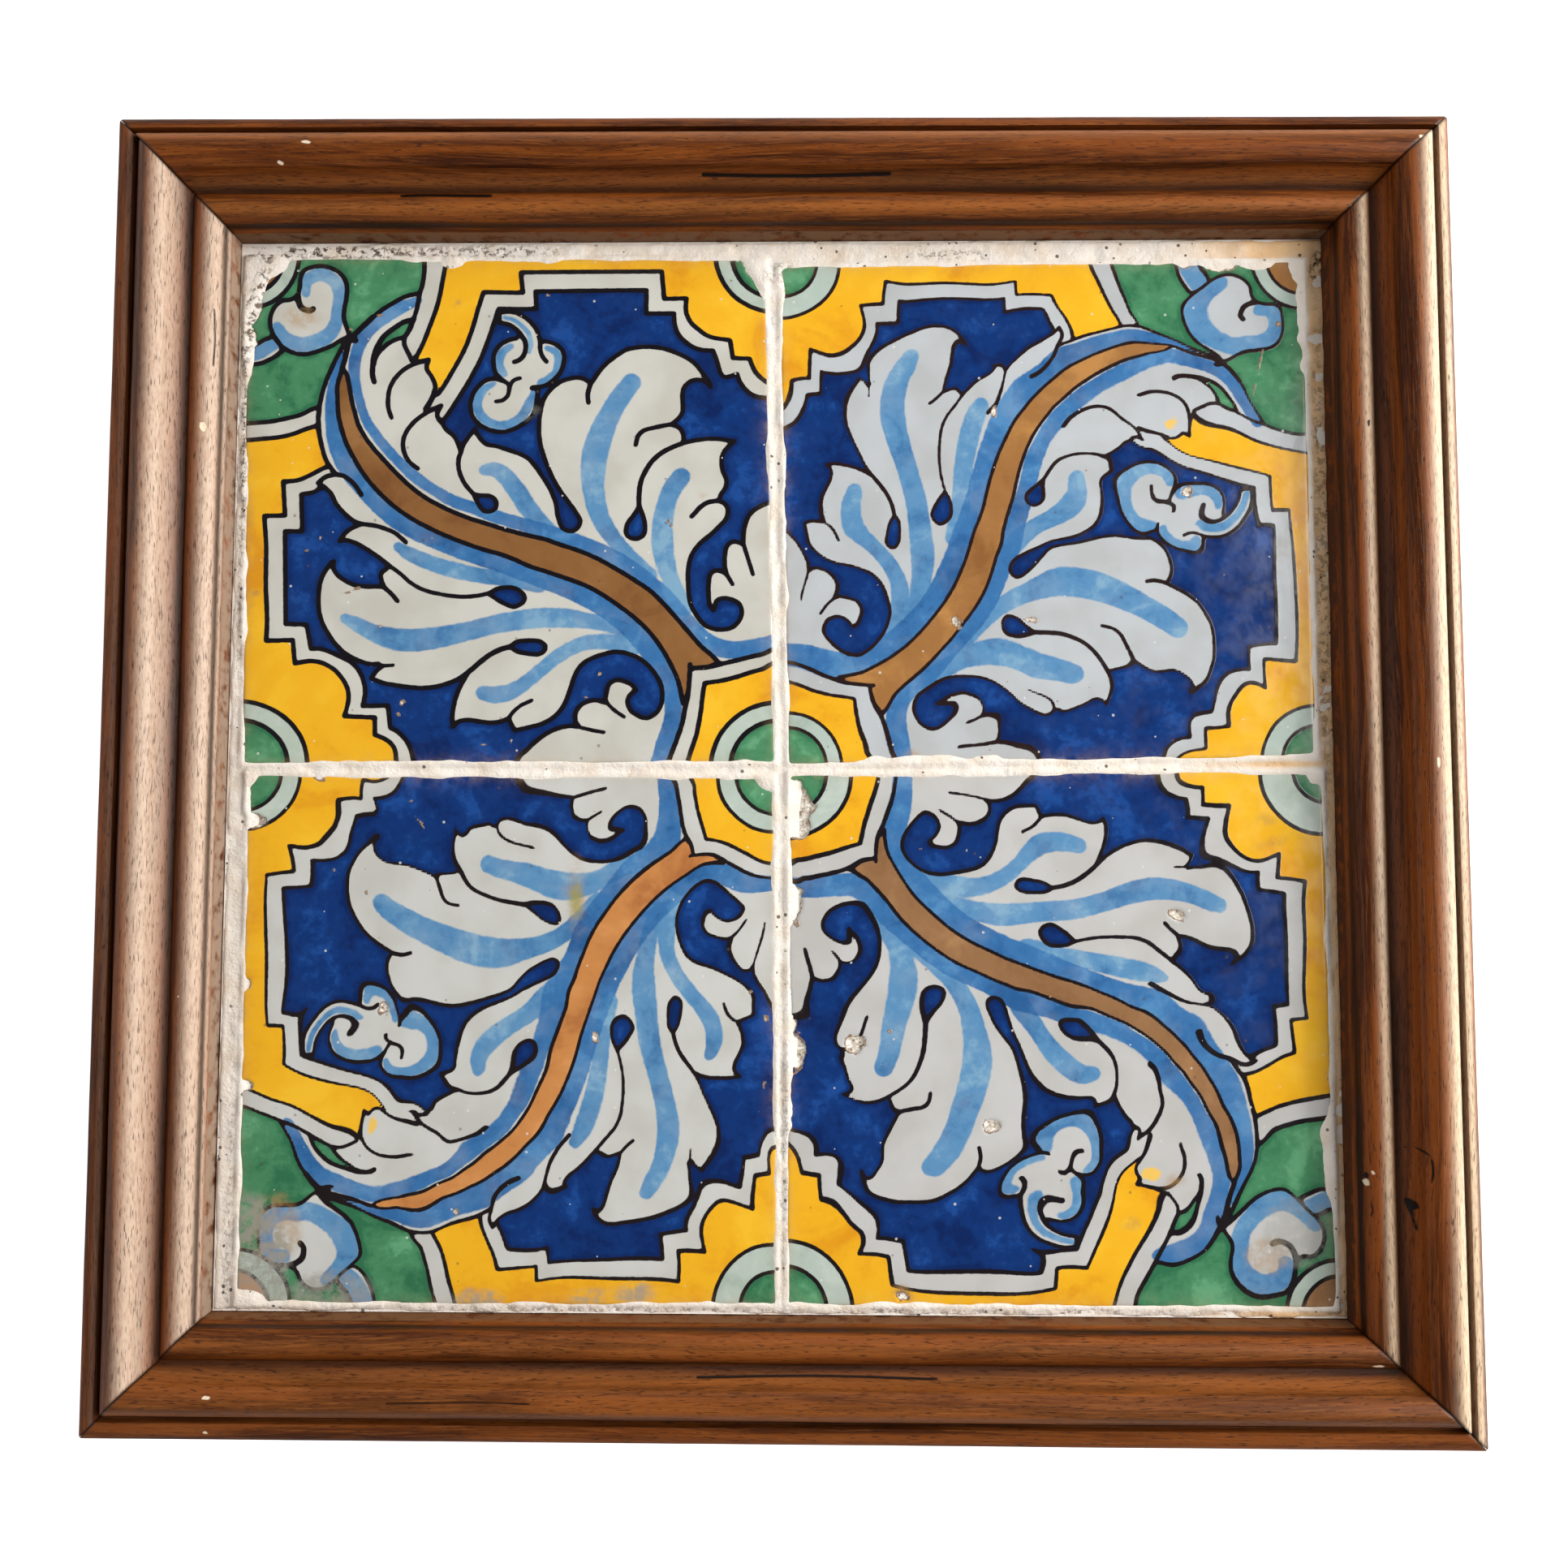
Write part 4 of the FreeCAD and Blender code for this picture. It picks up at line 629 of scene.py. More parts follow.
# Where the plaster broke into crumbs with dark gaps, in the panel: place, half length, half width,
# lean, strength
CRUMBS = [
    (-118.0, 139.8, 30.0, 1.8, 0, 1.0), (-76.0, 140.0, 14.0, 1.6, 0, 0.8),
    (-143.0, 124.0, 16.0, 2.2, 76, 0.9), (-145.0, 85.0, 40.0, 0.9, 90, 0.8),
    (46.0, 138.4, 10.0, 1.2, 0, 0.6), (144.6, 60.0, 66.0, 1.6, 90, 0.5),
    (145.4, 136.0, 5.0, 2.0, 70, 1.0), (0.3, 133.0, 6.0, 3.0, 0, 0.3),
    (40.0, -141.6, 60.0, 0.5, 0, 0.7), (-60.0, -141.8, 40.0, 0.5, 0, 0.6),
    (-143.4, -120.0, 40.0, 0.8, 90, 0.4), (1.5, -100.0, 30.0, 0.7, 90, 0.4),
]

# Nicks in the rails: place along, place across, half length, half width, depth
NICKS = {
    "left": [(157.0, 25.1, 0.9, 0.6, 0.25), (87.9, 24.1, 1.2, 0.9, 0.35),
             (-154.8, 24.5, 0.7, 0.4, 0.2), (-60.0, 22.1, 0.5, 0.3, 0.15)],
    "right": [(0.4, 9.4, 1.4, 0.4, 0.2), (105.5, 26.3, 0.8, 0.5, 0.3), (103.0, 25.1, 0.5, 0.4, 0.2)],
    "top": [(-123.1, 9.2, 1.3, 0.5, 0.25), (-130.4, 14.0, 0.8, 0.5, 0.2), (82.2, 28.0, 1.0, 0.4, 0.2),
            (151.6, 24.3, 0.9, 0.4, 0.2), (166.6, 8.5, 0.9, 0.5, 0.3), (170.0, 5.5, 0.6, 0.4, 0.2)],
    "bottom": [(140.6, 12.5, 1.0, 0.5, 0.25), (142.5, 2.1, 0.8, 0.5, 0.2), (-150.0, 20.1, 1.6, 0.4, 0.2)],
}

# Dark cracks, knots and pits in the rails, each along points (along, across) with its width
CRACKS = {
    "left": [(0.5, "98.3,20.5 97.6,20.7"), (0.35, "120,25.7 112,26.0 104,25.8")],
    "right": [
        (0.9, "-88.8,21.3 -87.8,21.5"),
        (0.5, "98.6,18.7 97.2,17.7 96.4,15.9 97.2,14.1 99,13.3 102,13.2 104,13.5"),
        (1.5, "109.8,16.7 110.6,15.7 111.4,16.5"), (0.5, "112,16.5 114,16.1 117,15.5"),
        (0.45, "103,26.3 104.4,25.7 104.2,26.9"), (0.4, "112,8.7 113.6,9.5 115.4,8.9 117,9.7"),
        (0.4, "110,25.7 112.5,25.3 114,25.9"),
    ],
    "top": [(1.3, "-99.7,20.4 -92,20.2 -84,20.4 -76.3,20.5"), (0.5, "80.2,21.3 81,21.2"),
            (0.6, "-20,15.7 6,15.9 30,15.6")],
    "bottom": [(0.5, "-40,16.3 -10,16.7 20,16.3"), (0.4, "60,11.7 75,12.0 96,11.6")],
}

# Bands of each rail that are rubbed pale and carry a painted sheen and highlight: place across,
# half width, strength
WEAR_AND_SHEEN_BANDS = {
    "left": [(13.8, 2.7, 1.0), (25.6, 2.6, 1.0), (28.0, 0.6, 0.7), (3.6, 0.8, 0.15)],
    "right": [(6.2, 2.6, 1.0), (21.2, 1.5, 0.8), (2.0, 1.0, 1.0)],
    "top": [(6.4, 2.2, 0.45), (24.0, 1.7, 0.45), (17.0, 1.2, 0.3)],
    "bottom": [(10.0, 3.6, 0.22), (23.6, 1.8, 0.25), (16.0, 1.5, 0.3)],
}

# Colours are 0..255 screen values. The dark grain of all rails; then for each rail its middle
# and light grain, where it is rubbed pale with a painted sheen (palest on the left and right
# rails), its wall next to the tiles with smeared plaster, painted lit on the left rail and painted
# shaded on the right, and its place in the plank
DARK_GRAIN = (64, 27, 5)
RAILS = {
    "left": ((118, 60, 20), (150, 84, 36), (197, 172, 151), (140, 118, 100), (0.0, 0.31, 0.0)),
    "right": ((127, 64, 20), (152, 86, 35), (214, 188, 158), (74, 42, 24), (1.3, 0.0, 0.2)),
    "top": ((118, 60, 18), (154, 88, 34), (176, 108, 52), (120, 88, 64), (2.1, 0.7, 0.0)),
    "bottom": ((122, 64, 22), (150, 88, 38), (166, 104, 54), (116, 78, 48), (3.4, 0.2, 0.5)),
}

# The thin, middle and thick brown of each tile's stem, and its white in two tones
STEMS = {
    "tile_top_left": ((152, 107, 64), (136, 93, 52), (118, 76, 41)),
    "tile_top_right": ((182, 130, 72), (156, 108, 60), (136, 90, 48)),
    "tile_bottom_right": ((166, 124, 84), (144, 105, 70), (124, 84, 52)),
    "tile_bottom_left": ((214, 150, 92), (196, 131, 73), (170, 106, 58)),
}
TINS = {
    "tile_top_left": ((201, 199, 191), (189, 186, 176)),
    "tile_top_right": ((186, 190, 193), (176, 178, 179)),
    "tile_bottom_right": ((193, 192, 190), (182, 180, 176)),
    "tile_bottom_left": ((199, 199, 195), (187, 186, 179)),
}

# Each paint thin, middle and thick, its patches to a metre and how streaky it is; the broken clay
# of the chips is mixed in the same way, its thick brown standing for painted shade in the pits
WASHES = {
    "ring": ((190, 204, 192), (172, 190, 176), (150, 172, 156), 90.0, 0.2),
    "pale": ((124, 164, 192), (88, 138, 180), (62, 112, 160), 70.0, 0.3),
    "shade": ((80, 134, 182), (56, 110, 164), (38, 88, 142), 70.0, 0.3),
    "yellow": ((240, 186, 44), (235, 174, 32), (220, 148, 24), 45.0, 0.15),
    "green": ((96, 158, 116), (70, 132, 92), (46, 108, 74), 75.0, 0.35),
    "cobalt": ((24, 70, 140), (10, 48, 110), (6, 34, 88), 80.0, 0.4),
    "clay_and_shade": ((244, 240, 232), (204, 192, 176), (104, 82, 64), 1300.0, 0.8),
}
POOLED = ("green", "cobalt")

# Nails that hold the board: radius, length, how much of that shows; then for each its place on
# the back, and which way it points in degrees
NAIL_RADIUS = 0.6
NAIL_LENGTH = 7.5
NAIL_SHOWN = 6.5
PINS = [(-154.9, 110.0, 180), (-154.9, -20.0, 176), (-154.9, -118.0, 184), (154.9, 96.0, 2),
        (154.9, 4.0, -3), (154.9, -104.0, 1), (-90.0, 150.4, 92), (22.0, 150.4, 88), (104.0, 150.4, 91),
        (-70.0, -150.4, -90), (36.0, -150.4, -94), (120.0, -150.4, -88)]

# Lamps: name, place in metres, side of the square in metres, watts, tint
LAMPS = [
    ("window_light", (1.20, 0.25, 0.50), 0.7, 21.0, (1.0, 0.985, 0.96)),
    ("high_window_light", (0.95, 0.20, 1.00), 0.7, 10.0, (1.0, 0.99, 0.97)),
    ("far_wall_light", (-1.1, 0.1, 0.8), 0.6, 2.0, (1.0, 0.97, 0.93)),
    ("room_light", (0.1, 1.3, 0.9), 0.8, 3.0, (0.96, 0.98, 1.0)),
]

# The painted motif, drawn once as the top left tile shows it


def drawn(text, closed, step=0.9):
    """A hand-drawn line: a smooth curve through its points, which turns sharply at those marked /.

    Between two points it is the cubic that leaves each in the direction of its two neighbours;
    at a sharp point the neighbour beyond is replaced by a mirror of the near one.
    """
    words = text.split()
    sharp = [word.endswith("/") for word in words]
    points = np.array([[float(part) for part in word.rstrip("/").split(",")] for word in words])
    count = len(points)
    runs = []
    for i in range(count if closed else count - 1):
        p1 = points[i]
        p2 = points[(i + 1) % count]
        before = closed or i > 0
        beyond = closed or i + 2 < count
        p0 = points[i - 1] if before and not sharp[i] else 2.0 * p1 - p2
        p3 = points[(i + 2) % count] if beyond and not sharp[(i + 1) % count] else 2.0 * p2 - p1
        parts = max(1, math.ceil(math.hypot(*(p2 - p1)[:2]) / step))
        t = (np.arange(parts) / parts)[:, None]
        bend = (2.0 * p0 - 5.0 * p1 + 4.0 * p2 - p3) * t ** 2 + (3.0 * p1 - p0 - 3.0 * p2 + p3) * t ** 3
        runs.append(0.5 * (2.0 * p1 + (p2 - p0) * t + bend))
    runs.append(points[:1] if closed else points[-1:])
    return np.concatenate(runs)


# The net on which the motif's distances are kept, and the distance that stands for far away
NET_HALF = 82.0
NET_STEP = 0.4
NET_AXIS = np.arange(-NET_HALF, NET_HALF + NET_STEP, NET_STEP)
FAR = 9.0


def far_field():
    """A net on which everything is still far away."""
    return np.full((len(NET_AXIS), len(NET_AXIS)), FAR)


def off_run(x, y, a, b):
    """Distance from the straight run between two points, and the share of the run at which it
    is nearest."""
    dx, dy = (b - a)[:2]
    t = np.clip(((x - a[0]) * dx + (y - a[1]) * dy) / max(dx * dx + dy * dy, 1e-9), 0.0, 1.0)
    return np.hypot(x - a[0] - t * dx, y - a[1] - t * dy), t


def near_line(field, points, half_width):
    """Lowers a net to its distance from a line of the given half width, which may change along
    the line: for each short run, the distance to the nearest point of the run."""
    half = np.broadcast_to(half_width, (len(points),)).astype(float)
    reach = 2.6
    for a, b, half_a, half_b in zip(points[:-1], points[1:], half[:-1], half[1:]):
        margin = reach + max(half_a, half_b)
        low = np.searchsorted(NET_AXIS, np.minimum(a[:2], b[:2]) - margin)
        high = np.searchsorted(NET_AXIS, np.maximum(a[:2], b[:2]) + margin)
        x = NET_AXIS[low[0]:high[0]][None, :]
        y = NET_AXIS[low[1]:high[1]][:, None]
        away, t = off_run(x, y, a, b)
        away = away - (half_a + (half_b - half_a) * t)
        part = field[low[1]:high[1], low[0]:high[0]]
        np.minimum(part, away, out=part)
    return field


def filled(points):
    """Distance to a closed line, minus inside it. A place is inside if a ray to its left
    crosses the line an odd number of times."""
    field = near_line(far_field(), points, 0.0)
    crossings = np.zeros((len(NET_AXIS), len(NET_AXIS) + 1), dtype=int)
    for (x0, y0), (x1, y1) in zip(points[:-1], points[1:]):
        low, high = np.searchsorted(NET_AXIS, sorted((y0, y1)))
        rows = np.arange(low, high)
        if len(rows):
            at = x0 + (NET_AXIS[rows] - y0) * (x1 - x0) / (y1 - y0)
            np.add.at(crossings, (rows, np.searchsorted(NET_AXIS, at)), 1)
    inside = np.cumsum(crossings, axis=1)[:, :-1] % 2 == 1
    return np.where(inside, -field, field)


def on_tile_runs(points):
    """The runs of a line that don't lie on the far border where areas are closed."""
    border = np.abs(points).max(axis=1) > AREA_BORDER - 0.5
    return [run for run in np.split(points, np.flatnonzero(border)) if len(run) > 1]


def motif_fields():
    """Distance nets of every paint of the motif, minus where the paint lies."""
    shapes = {name: [drawn(text, True) for text in texts] for name, texts in AREAS.items()}
    area = {name: np.minimum.reduce([filled(points) for points in lines])
            for name, lines in shapes.items()}
    line = far_field()
    for lines in shapes.values():
        for points in lines:
            for run in on_tile_runs(points):
                near_line(line, run, 0.5 * OUTLINE_WIDTH)
    for width, text in LINES:
        near_line(line, drawn(text, False), 0.5 * width)
    fields = {
        "cobalt": np.maximum(area["cobalt"], -area["flower"]),
        "yellow": area["yellow"],
        "green": np.maximum(area["green"], -area["scroll"]),
        "brown": area["stem"],
        "line": line,
    }
    for paint, texts in STROKES.items():
        fields[paint] = far_field()
        for text in texts:
            path = drawn(text, False)
            near_line(fields[paint], path, 0.5 * path[:, 2])
    return fields


def sample(field, x, y):
    """A net's value anywhere, from its four nearest points in proportion."""
    i = np.clip((x + NET_HALF) / NET_STEP, 0.0, len(NET_AXIS) - 1.001)
    j = np.clip((y + NET_HALF) / NET_STEP, 0.0, len(NET_AXIS) - 1.001)
    i0 = i.astype(int)
    j0 = j.astype(int)
    a = i - i0
    b = j - j0
    low = field[j0, i0] * (1.0 - a) + field[j0, i0 + 1] * a
    up = field[j0 + 1, i0] * (1.0 - a) + field[j0 + 1, i0 + 1] * a
    return low * (1.0 - b) + up * b


def landmark_pairs(quarter_turns):
    """The places of LANDMARKS as pairs, master place and place on the tile that lies the given
    number of quarter turns on; no pairs for the master tile itself."""
    rows = np.array([row.split() for row in LANDMARKS.replace("/", "\n").split("\n") if row.strip()],
                    dtype=float)
    column = 2 * quarter_turns
    return [(row[0:2], row[column:column + 2]) for row in rows] if quarter_turns else []


def warp(u, v, landmarks):
    """Where a place on one tile lies in the master motif: the smoothest bending that takes each
    of the tile's landmarks to the master's, a plane plus one r^2 log r hump at each landmark."""
    if not landmarks:
        return u, v
    here = np.array([pair[1] for pair in landmarks], dtype=float)
    master = np.array([pair[0] for pair in landmarks], dtype=float)
    count = len(here)
    slack = 2.0
    apart = np.hypot(*(here[:, None] - here[None]).transpose(2, 0, 1))
    hump = apart ** 2 * np.log(np.maximum(apart, 1e-9)) + slack * np.eye(count)
    flat = np.column_stack([np.ones(count), here])
    system = np.block([[hump, flat], [flat.T, np.zeros((3, 3))]])
    weight = np.linalg.solve(system, np.concatenate([master, np.zeros((3, 2))]))
    out_u = weight[count, 0] + weight[count + 1, 0] * u + weight[count + 2, 0] * v
    out_v = weight[count, 1] + weight[count + 1, 1] * u + weight[count + 2, 1] * v
    for (x, y), (push_u, push_v) in zip(here, weight[:count]):
        square = np.maximum((u - x) ** 2 + (v - y) ** 2, 1e-12)
        rise = 0.5 * square * np.log(square)
        out_u = out_u + push_u * rise
        out_v = out_v + push_v * rise
    return out_u, out_v


# Meshes from numpy arrays


def ripple(x, y, size, seed):
    """Smooth random surface between -1 and 1: values at the corners of a square net of the
    given size, eased between them by 3t^2 - 2t^3 in both directions."""
    count = 64
    net = np.random.default_rng(seed).uniform(-1.0, 1.0, (count, count))
    u = x / size
    v = y / size
    iu = np.floor(u).astype(int)
    iv = np.floor(v).astype(int)
    a = u - iu
    b = v - iv
    a = a * a * (3.0 - 2.0 * a)
    b = b * b * (3.0 - 2.0 * b)
    low = net[iv % count, iu % count] * (1 - a) + net[iv % count, (iu + 1) % count] * a
    up = net[(iv + 1) % count, iu % count] * (1 - a)
    up = up + net[(iv + 1) % count, (iu + 1) % count] * a
    return low * (1 - b) + up * b


def rough(x, y, size, seed, layers=3):
    """Layered ripples: each layer half the size and half the height of the one before."""
    total = np.zeros(np.broadcast(x, y).shape)
    for layer in range(layers):
        total += 0.5 ** layer * ripple(x, y, size * 0.5 ** layer, seed + layer)
    return total


def uneven(x, y, size, seed, layers):
    """Soft dips between 0 and 2: one plus the layered ripples over the most they can add up to."""
    return 1.0 + rough(x, y, size, seed, layers) / (2.0 - 0.5 ** (layers - 1))


def ease(value, low, high):
    """0 below low, 1 above high, and 3t^2 - 2t^3 between them."""
    t = np.clip((value - low) / (high - low), 0.0, 1.0)
    return t * t * (3.0 - 2.0 * t)


def grid_quads(rows, columns):
    """Corner numbers of the quads of a grid whose points are counted row by row."""
    first = (np.arange(rows - 1)[:, None] * columns + np.arange(columns - 1)[None, :]).ravel()
    return np.stack([first, first + 1, first + columns + 1, first + columns], axis=1)


def swept_faces(rows, columns):
    """Quads and two end caps of a closed outline carried along: each point with its neighbour
    round the outline and the same two on the next row."""
    row = np.arange(rows - 1)[:, None] * columns
    first = (row + np.arange(columns)[None, :]).ravel()
    after = (row + (np.arange(columns)[None, :] + 1) % columns).ravel()
    quads = np.stack([first, after, after + columns, first + columns], axis=1)
    return quads, [np.arange(columns)[::-1], (rows - 1) * columns + np.arange(columns)]


def make_mesh(name, points, quads, caps=()):
    """Mesh from an array of points in millimetres, an array of quads and a few many-sided caps."""
    mesh = bpy.data.meshes.new(name)
    mesh.vertices.add(len(points))
    mesh.vertices.foreach_set("co", (np.asarray(points) * MM).astype(np.float32).ravel())
    corners = np.concatenate([quads.ravel()] + [np.asarray(cap) for cap in caps])
    sizes = np.concatenate([np.full(len(quads), 4), [len(cap) for cap in caps]]).astype(np.int32)
    mesh.loops.add(len(corners))
    mesh.loops.foreach_set("vertex_index", corners.astype(np.int32))
    mesh.polygons.add(len(sizes))
    mesh.polygons.foreach_set("loop_start", np.concatenate([[0], np.cumsum(sizes)[:-1]]).astype(np.int32))
    mesh.polygons.foreach_set("loop_total", sizes)
    mesh.update(calc_edges=True)
    mesh.validate()
    mesh.polygons.foreach_set("use_smooth", np.ones(len(mesh.polygons), dtype=bool))
    return mesh


def set_values(mesh, name, values):
    """One number for each point, for a material to read."""
    layer = mesh.attributes.new(name, "FLOAT", "POINT")
    layer.data.foreach_set("value", np.asarray(values, dtype=np.float32).ravel())


def set_vectors(mesh, name, vectors):
    """One vector for each point, for a material to read."""
    layer = mesh.attributes.new(name, "FLOAT_VECTOR", "POINT")
    layer.data.foreach_set("vector", np.asarray(vectors, dtype=np.float32).ravel())


def add_piece(mesh, material, node=None):
    """Puts a mesh in the scene, riding on the one body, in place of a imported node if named."""
    piece = bpy.data.objects.new(mesh.name, mesh)
    bpy.context.scene.collection.objects.link(piece)
    mesh.materials.append(material)
    if node:
        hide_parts(node)
    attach(piece, "root")
    return piece


# Shader graphs


class Graph:
    """Short ways to add nodes to one node tree."""

    def __init__(self, tree):
        """Keeps the tree that the nodes go into."""
        self.tree = tree

    def put(self, socket, value):
        """Links a socket to another, or sets its plain value."""
        if isinstance(value, bpy.types.NodeSocket):
            self.tree.links.new(value, socket)
        elif value is not None:
            socket.default_value = value

    def node(self, kind, settings=None, inputs=None):
        """A node with its settings and inputs; an input is named or numbered."""
        made = self.tree.nodes.new(kind)
        for name, value in (settings or {}).items():
            setattr(made, name, value)
        for name, value in (inputs or {}).items():
            self.put(made.inputs[name], value)
        return made

    def math(self, operation, first, second=None, third=None):
        """A sum, product or other operation on numbers."""
        inputs = {0: first, 1: second, 2: third}
        return self.node("ShaderNodeMath", {"operation": operation}, inputs).outputs[0]

    def noise(self, vector, scale, detail=3.0, roughness=0.5, distortion=0.0):
        """Cloudy noise; the scale is its patches to a metre."""
        inputs = {"Vector": vector, "Scale": scale, "Detail": detail, "Roughness": roughness,
                  "Distortion": distortion}
        return self.node("ShaderNodeTexNoise", None, inputs).outputs["Fac"]

    def span(self, value, low, high, to_low=0.0, to_high=1.0, kind="SMOOTHSTEP"):
        """Maps low..high to to_low..to_high, held at the ends."""
        settings = {"interpolation_type": kind, "clamp": True}
        inputs = {"Value": value, "From Min": low, "From Max": high, "To Min": to_low, "To Max": to_high}
        return self.node("ShaderNodeMapRange", settings, inputs).outputs["Result"]

    def mix(self, factor, first, second):
        """From the first colour at 0 to the second at 1."""
        settings = {"data_type": "RGBA", "blend_type": "MIX", "clamp_factor": True}
        return self.node("ShaderNodeMix", settings, {0: factor, 6: first, 7: second}).outputs[2]

    def lay(self, under, colour, mask, amount=None):
        """A colour over another where the mask is, thinned by an amount if one is given."""
        return self.mix(mask if amount is None else self.math("MULTIPLY", mask, amount), under, colour)

    def own_place(self):
        """The place in the piece's own metres."""
        return self.node("ShaderNodeTexCoord").outputs["Object"]

    def stretch(self, vector, scale):
        """A place multiplied by a scale along each axis."""
        inputs = {"Vector": vector, "Scale": scale}
        return self.node("ShaderNodeMapping", None, inputs).outputs["Vector"]

    def value(self, name):
        """A number that the mesh carries."""
        return self.node("ShaderNodeAttribute", {"attribute_name": name}).outputs["Fac"]

    def use(self, group, inputs):
        """Places a node group with its own values and gives the node."""
        return self.node("ShaderNodeGroup", {"node_tree": group}, inputs)

    def bump(self, height, distance, strength):
        """A normal tilted by the slope of a height, which spans the distance."""
        inputs = {"Height": height, "Distance": distance, "Strength": strength}
        return self.node("ShaderNodeBump", None, inputs).outputs["Normal"]


def linear(*screen):
    """A colour written as 0..255 screen values, as the renderer wants it."""
    parts = [v / 255.0 for v in screen]
    return (*[v / 12.92 if v <= 0.04045 else ((v + 0.055) / 1.055) ** 2.4 for v in parts], 1.0)


def new_group(name, inputs, outputs):
    """A shader node group; inputs are (name, kind, value), outputs are (name, kind)."""
    tree = bpy.data.node_groups.new(name, "ShaderNodeTree")
    for label, kind, value in inputs:
        socket = tree.interface.new_socket(label, in_out="INPUT", socket_type="NodeSocket" + kind)
        if value is not None:
            socket.default_value = value
    for label, kind in outputs:
        tree.interface.new_socket(label, in_out="OUTPUT", socket_type="NodeSocket" + kind)
    entry = tree.nodes.new("NodeGroupInput")
    leave = tree.nodes.new("NodeGroupOutput")
    return tree, Graph(tree), entry.outputs, leave.inputs


def new_material(name):
    """A material with its graph and its Principled shader."""
    material = bpy.data.materials.new(name)
    material.use_nodes = True
    graph = Graph(material.node_tree)
    return material, graph, material.node_tree.nodes["Principled BSDF"].inputs


def painted_edge_group():
    """A painted area from its distance: 1 inside, 0 outside, the edge wandering like a brush."""
    tree, g, given, out = new_group(
        "painted_edge",
        [("Distance", "Float", 0.0), ("Softness", "Float", 0.1), ("Wander", "Float", 0.1)],
        [("Mask", "Float")])
    place = g.own_place()
    wave = g.math("SUBTRACT", g.noise(place, 700.0, 2.0), 0.5)
    moved = g.math("MULTIPLY_ADD", wave, g.math("MULTIPLY", given["Wander"], 2.0), given["Distance"])
    mask = g.node("ShaderNodeMapRange", {"interpolation_type": "SMOOTHSTEP"}, {
        "Value": moved, "From Min": given["Softness"],
        "From Max": g.math("MULTIPLY", given["Softness"], -1.0)}).outputs["Result"]
    g.put(out["Mask"], mask)
    return tree


def wash_group():
    """Colour brushed on in water: thin, middle and thick patches, thick where it pooled."""
    tree, g, given, out = new_group(
        "brushed_wash",
        [("Thin", "Color", None), ("Middle", "Color", None), ("Thick", "Color", None),
         ("Patch", "Float", 90.0), ("Streak", "Float", 0.2), ("Pool", "Float", 0.0)],
        [("Color", "Color")])
    place = g.own_place()
    patch = g.noise(place, given["Patch"], 4.0, 0.55, 0.6)
    streaks = g.noise(place, 520.0, 3.0, 0.6)
    both = g.math("MULTIPLY_ADD", g.math("SUBTRACT", streaks, 0.5), given["Streak"], patch)
    both = g.math("MULTIPLY_ADD", given["Pool"], 0.16, both)
    lower = g.mix(g.span(both, 0.30, 0.50), given["Thin"], given["Middle"])
    g.put(out["Color"], g.mix(g.span(both, 0.50, 0.72), lower, given["Thick"]))
    return tree


def timber_group():
    """Long grain in solid wood from the place in the plank: bands, fibres and pores."""
    tree, g, given, out = new_group(
        "timber_grain",
        [("Place", "Vector", None), ("Band", "Float", 1.0), ("Fibre", "Float", 1.0)],
        [("Bands", "Float"), ("Fibres", "Float"), ("Pores", "Float")])
    wander = g.node("ShaderNodeVectorMath", {"operation": "SCALE"}, {
        0: g.node("ShaderNodeTexNoise", None, {
            "Vector": g.stretch(given["Place"], (7.0, 26.0, 26.0)), "Scale": 1.0,
            "Detail": 2.0}).outputs["Color"], "Scale": 0.012}).outputs["Vector"]
    bent = g.node("ShaderNodeVectorMath", {"operation": "ADD"},
                  {0: given["Place"], 1: wander}).outputs["Vector"]
    bands = g.noise(g.stretch(bent, (9.0, 260.0, 260.0)), given["Band"], 3.0, 0.6)
    fibres = g.noise(g.stretch(bent, (60.0, 1900.0, 1900.0)), given["Fibre"], 3.0, 0.65)
    pores = g.noise(g.stretch(bent, (330.0, 3000.0, 3000.0)), given["Fibre"], 1.0, 0.5)
    g.put(out["Bands"], bands)
    g.put(out["Fibres"], fibres)
    g.put(out["Pores"], g.span(pores, 0.60, 0.70))
    return tree


def speckle_group():
    """Sparse specks and pinholes: 1 in a speck, 0 elsewhere."""
    tree, g, given, out = new_group(
        "specks",
        [("Scale", "Float", 300.0), ("Size", "Float", 0.1)],
        [("Mask", "Float")])
    place = g.own_place()
    cells = g.node("ShaderNodeTexVoronoi", {"feature": "F1"}, {
        "Vector": place, "Scale": given["Scale"], "Randomness": 1.0})
    pick = g.node("ShaderNodeSeparateColor", None, {0: cells.outputs["Color"]}).outputs[0]
    size = g.math("MULTIPLY", g.span(pick, 0.55, 1.0), given["Size"])
    spot = g.math("LESS_THAN", cells.outputs["Distance"], size)
    g.put(out["Mask"], spot)
    return tree


PAINTED_EDGE = painted_edge_group()
WASH = wash_group()
TIMBER = timber_group()
SPECKS = speckle_group()

# Materials


